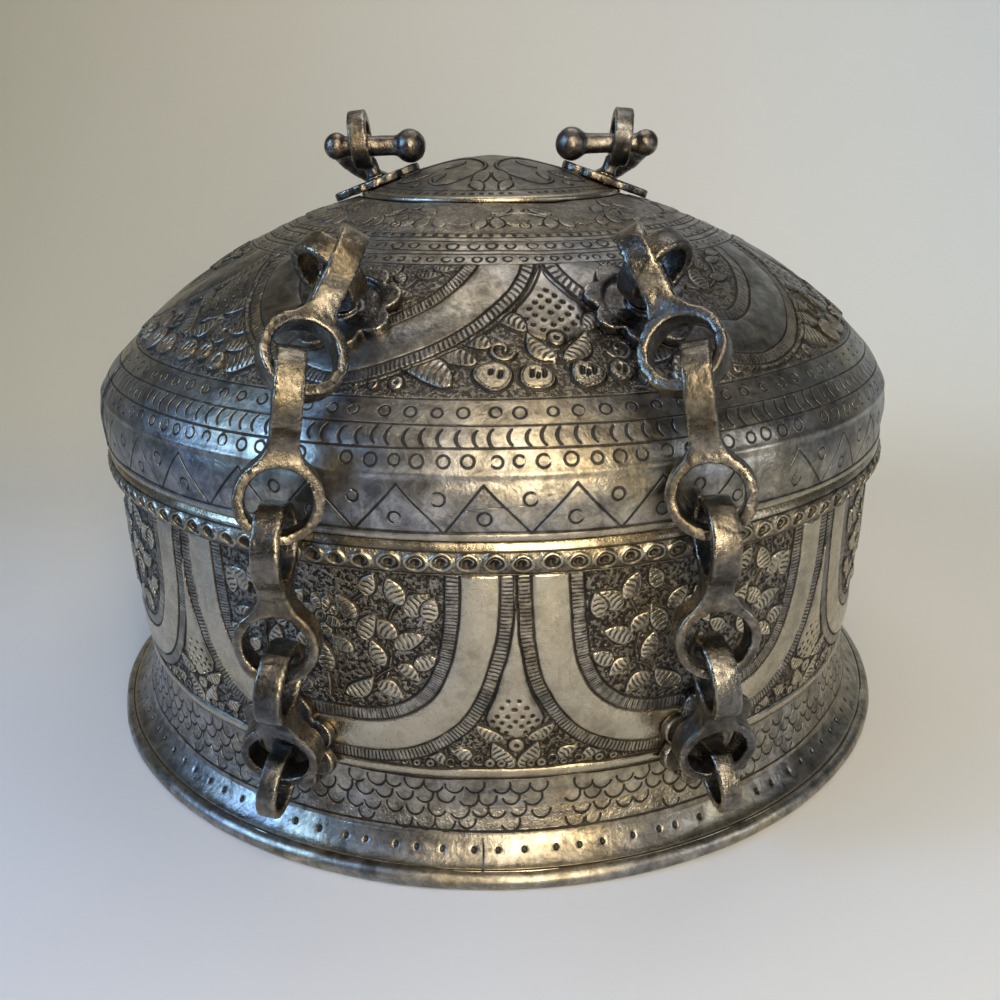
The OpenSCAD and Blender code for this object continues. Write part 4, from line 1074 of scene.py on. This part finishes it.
for cad, mat, slot in (
    ("bottom_plate", INNER, "plain_sheet"),
    ("inner_collar", INNER, "tinned_inside"),
    ("tray_ledge", INNER, "tinned_inside"),
    ("lid_hem", INNER, "tinned_inside"),
    ("leaf_tray", INNER, "tinned_inside"),
    ("front_cup", INNER, "tinned_inside"),
    ("back_cup", INNER, "tinned_inside"),
    ("left_cup", INNER, "tinned_inside"),
    ("right_cup", INNER, "tinned_inside"),
    ("tray_grip", FORGED, "forged_rings"),
):
    NODES[cad].data.materials.clear()
    NODES[cad].data.materials.append(mat)
for side in ("left", "right"):
    for what in ("bowl", "lid", "handle"):
        o = NODES[f"{side}_{what}_burr"]
        o.data.materials.clear()
        o.data.materials.append(PLAIN)


# Floor and backdrop: one sheet that curves up behind the box
def tint(tree, src, points):
    """Colours along a coordinate, given in metres."""
    lo, hi = points[0][0], points[-1][0]
    place = calc(tree, "MULTIPLY", calc(tree, "SUBTRACT", src, lo), 1 / (hi - lo))
    return ramp(tree, place, [((at - lo) / (hi - lo), colour) for at, colour in points])


def sweep_material():
    mat = bpy.data.materials.new("sweep")
    mat.use_nodes = True
    t = mat.node_tree
    split = t.nodes.new("ShaderNodeSeparateXYZ")
    t.links.new(t.nodes.new("ShaderNodeTexCoord").outputs["Object"], split.inputs[0])
    across, back = split.outputs["X"], split.outputs["Y"]
    # Painted light across the sheet: the wall darkens to beige on the left and lightens to blue-white on the right, and
    # the floor is darker and bluer on the left, a painted shade.
    wall = tint(t, across, [(-0.45, (0.60, 0.53, 0.38)), (-0.2, (0.64, 0.58, 0.45)), (0.15, (0.74, 0.72, 0.66)), (0.5, (0.92, 0.98, 1.0))])
    floor = tint(t, across, [(-0.4, (0.38, 0.40, 0.46)), (0.0, (0.55, 0.57, 0.62)), (0.4, (0.55, 0.57, 0.56))])
    rise = tint(t, back, [(-0.12, 0.0), (0.3, 1.0)])
    colour = blend_colour(t, rise, floor, wall)
    b = t.nodes["Principled BSDF"]
    t.links.new(colour, b.inputs["Base Color"])
    b.inputs["Roughness"].default_value = 0.9
    b.inputs["Specular IOR Level"].default_value = 0.2
    return mat


def sweep(name, near, far, bend, high, wide, mat):
    turn = [math.pi / 2 * k / 24 for k in range(25)]
    side = [(near, 0.0)] + [(far + bend * math.sin(a), bend - bend * math.cos(a)) for a in turn] + [(far + bend, high)]
    n = len(side)
    me = bpy.data.meshes.new(name)
    me.from_pydata(
        [(x * MM, y * MM, z * MM) for x in (-wide, wide) for y, z in side],
        [],
        [(k, k + 1, n + k + 1, n + k) for k in range(n - 1)],
    )
    me.polygons.foreach_set("use_smooth", np.ones(n - 1, bool))
    me.materials.append(mat)
    ob = bpy.data.objects.new(name, me)
    bpy.context.scene.collection.objects.link(ob)
    return ob


sweep("Backdrop", -900, 180, 420, 1600, 1500, sweep_material())

# Light
world = bpy.data.worlds.new("Room")
bpy.context.scene.world = world
world.use_nodes = True
world.node_tree.nodes["Background"].inputs[0].default_value = (0.62, 0.66, 0.72, 1)
world.node_tree.nodes["Background"].inputs[1].default_value = 0.1


def soft_light(name, at, aim, size, power, colour):
    data = bpy.data.lights.new(name, "AREA")
    data.shape = "RECTANGLE"
    data.size, data.size_y = size[0] * MM, size[1] * MM
    data.energy = power
    data.color = colour
    ob = bpy.data.objects.new(name, data)
    bpy.context.scene.collection.objects.link(ob)
    ob.location = Vector(at) * MM
    ob.rotation_euler = (Vector(aim) - Vector(at)).to_track_quat("-Z", "Y").to_euler()
    return ob


soft_light("Window", (-620, -300, 430), (0, -60, 80), (260, 460), 3.8, (0.32, 0.58, 1.0))
soft_light("Lamp", (110, -660, 310), (0, -60, 90), (140, 480), 3.8, (1.0, 0.85, 0.60))
soft_light("Side", (650, -380, 300), (0, 0, 80), (200, 420), 0.95, (0.85, 0.92, 1.0))
soft_light("Sill", (50, -430, 600), (0, -110, 115), (260, 260), 1.35, (1.0, 0.86, 0.64))
soft_light("Top", (60, 160, 800), (0, 0, 100), (500, 400), 1.7, (1.0, 0.96, 0.92))

# Camera
cam = bpy.data.cameras.new("Camera")
cam.sensor_width = 36.0
cam.lens = 36.28
cam.clip_start, cam.clip_end = 0.01, 10
eye = bpy.data.objects.new("Camera", cam)
bpy.context.scene.collection.objects.link(eye)
turned = Matrix.Rotation(math.radians(-0.2545), 4, "Z") @ Matrix.Rotation(math.radians(90 - 20.33), 4, "X")
eye.matrix_world = Matrix.Translation(Vector((0.15, -356.9, 193.3)) * MM) @ turned @ Matrix.Rotation(math.radians(-0.644), 4, "Z")
bpy.context.scene.camera = eye
bpy.context.scene.view_settings.view_transform = "Standard"
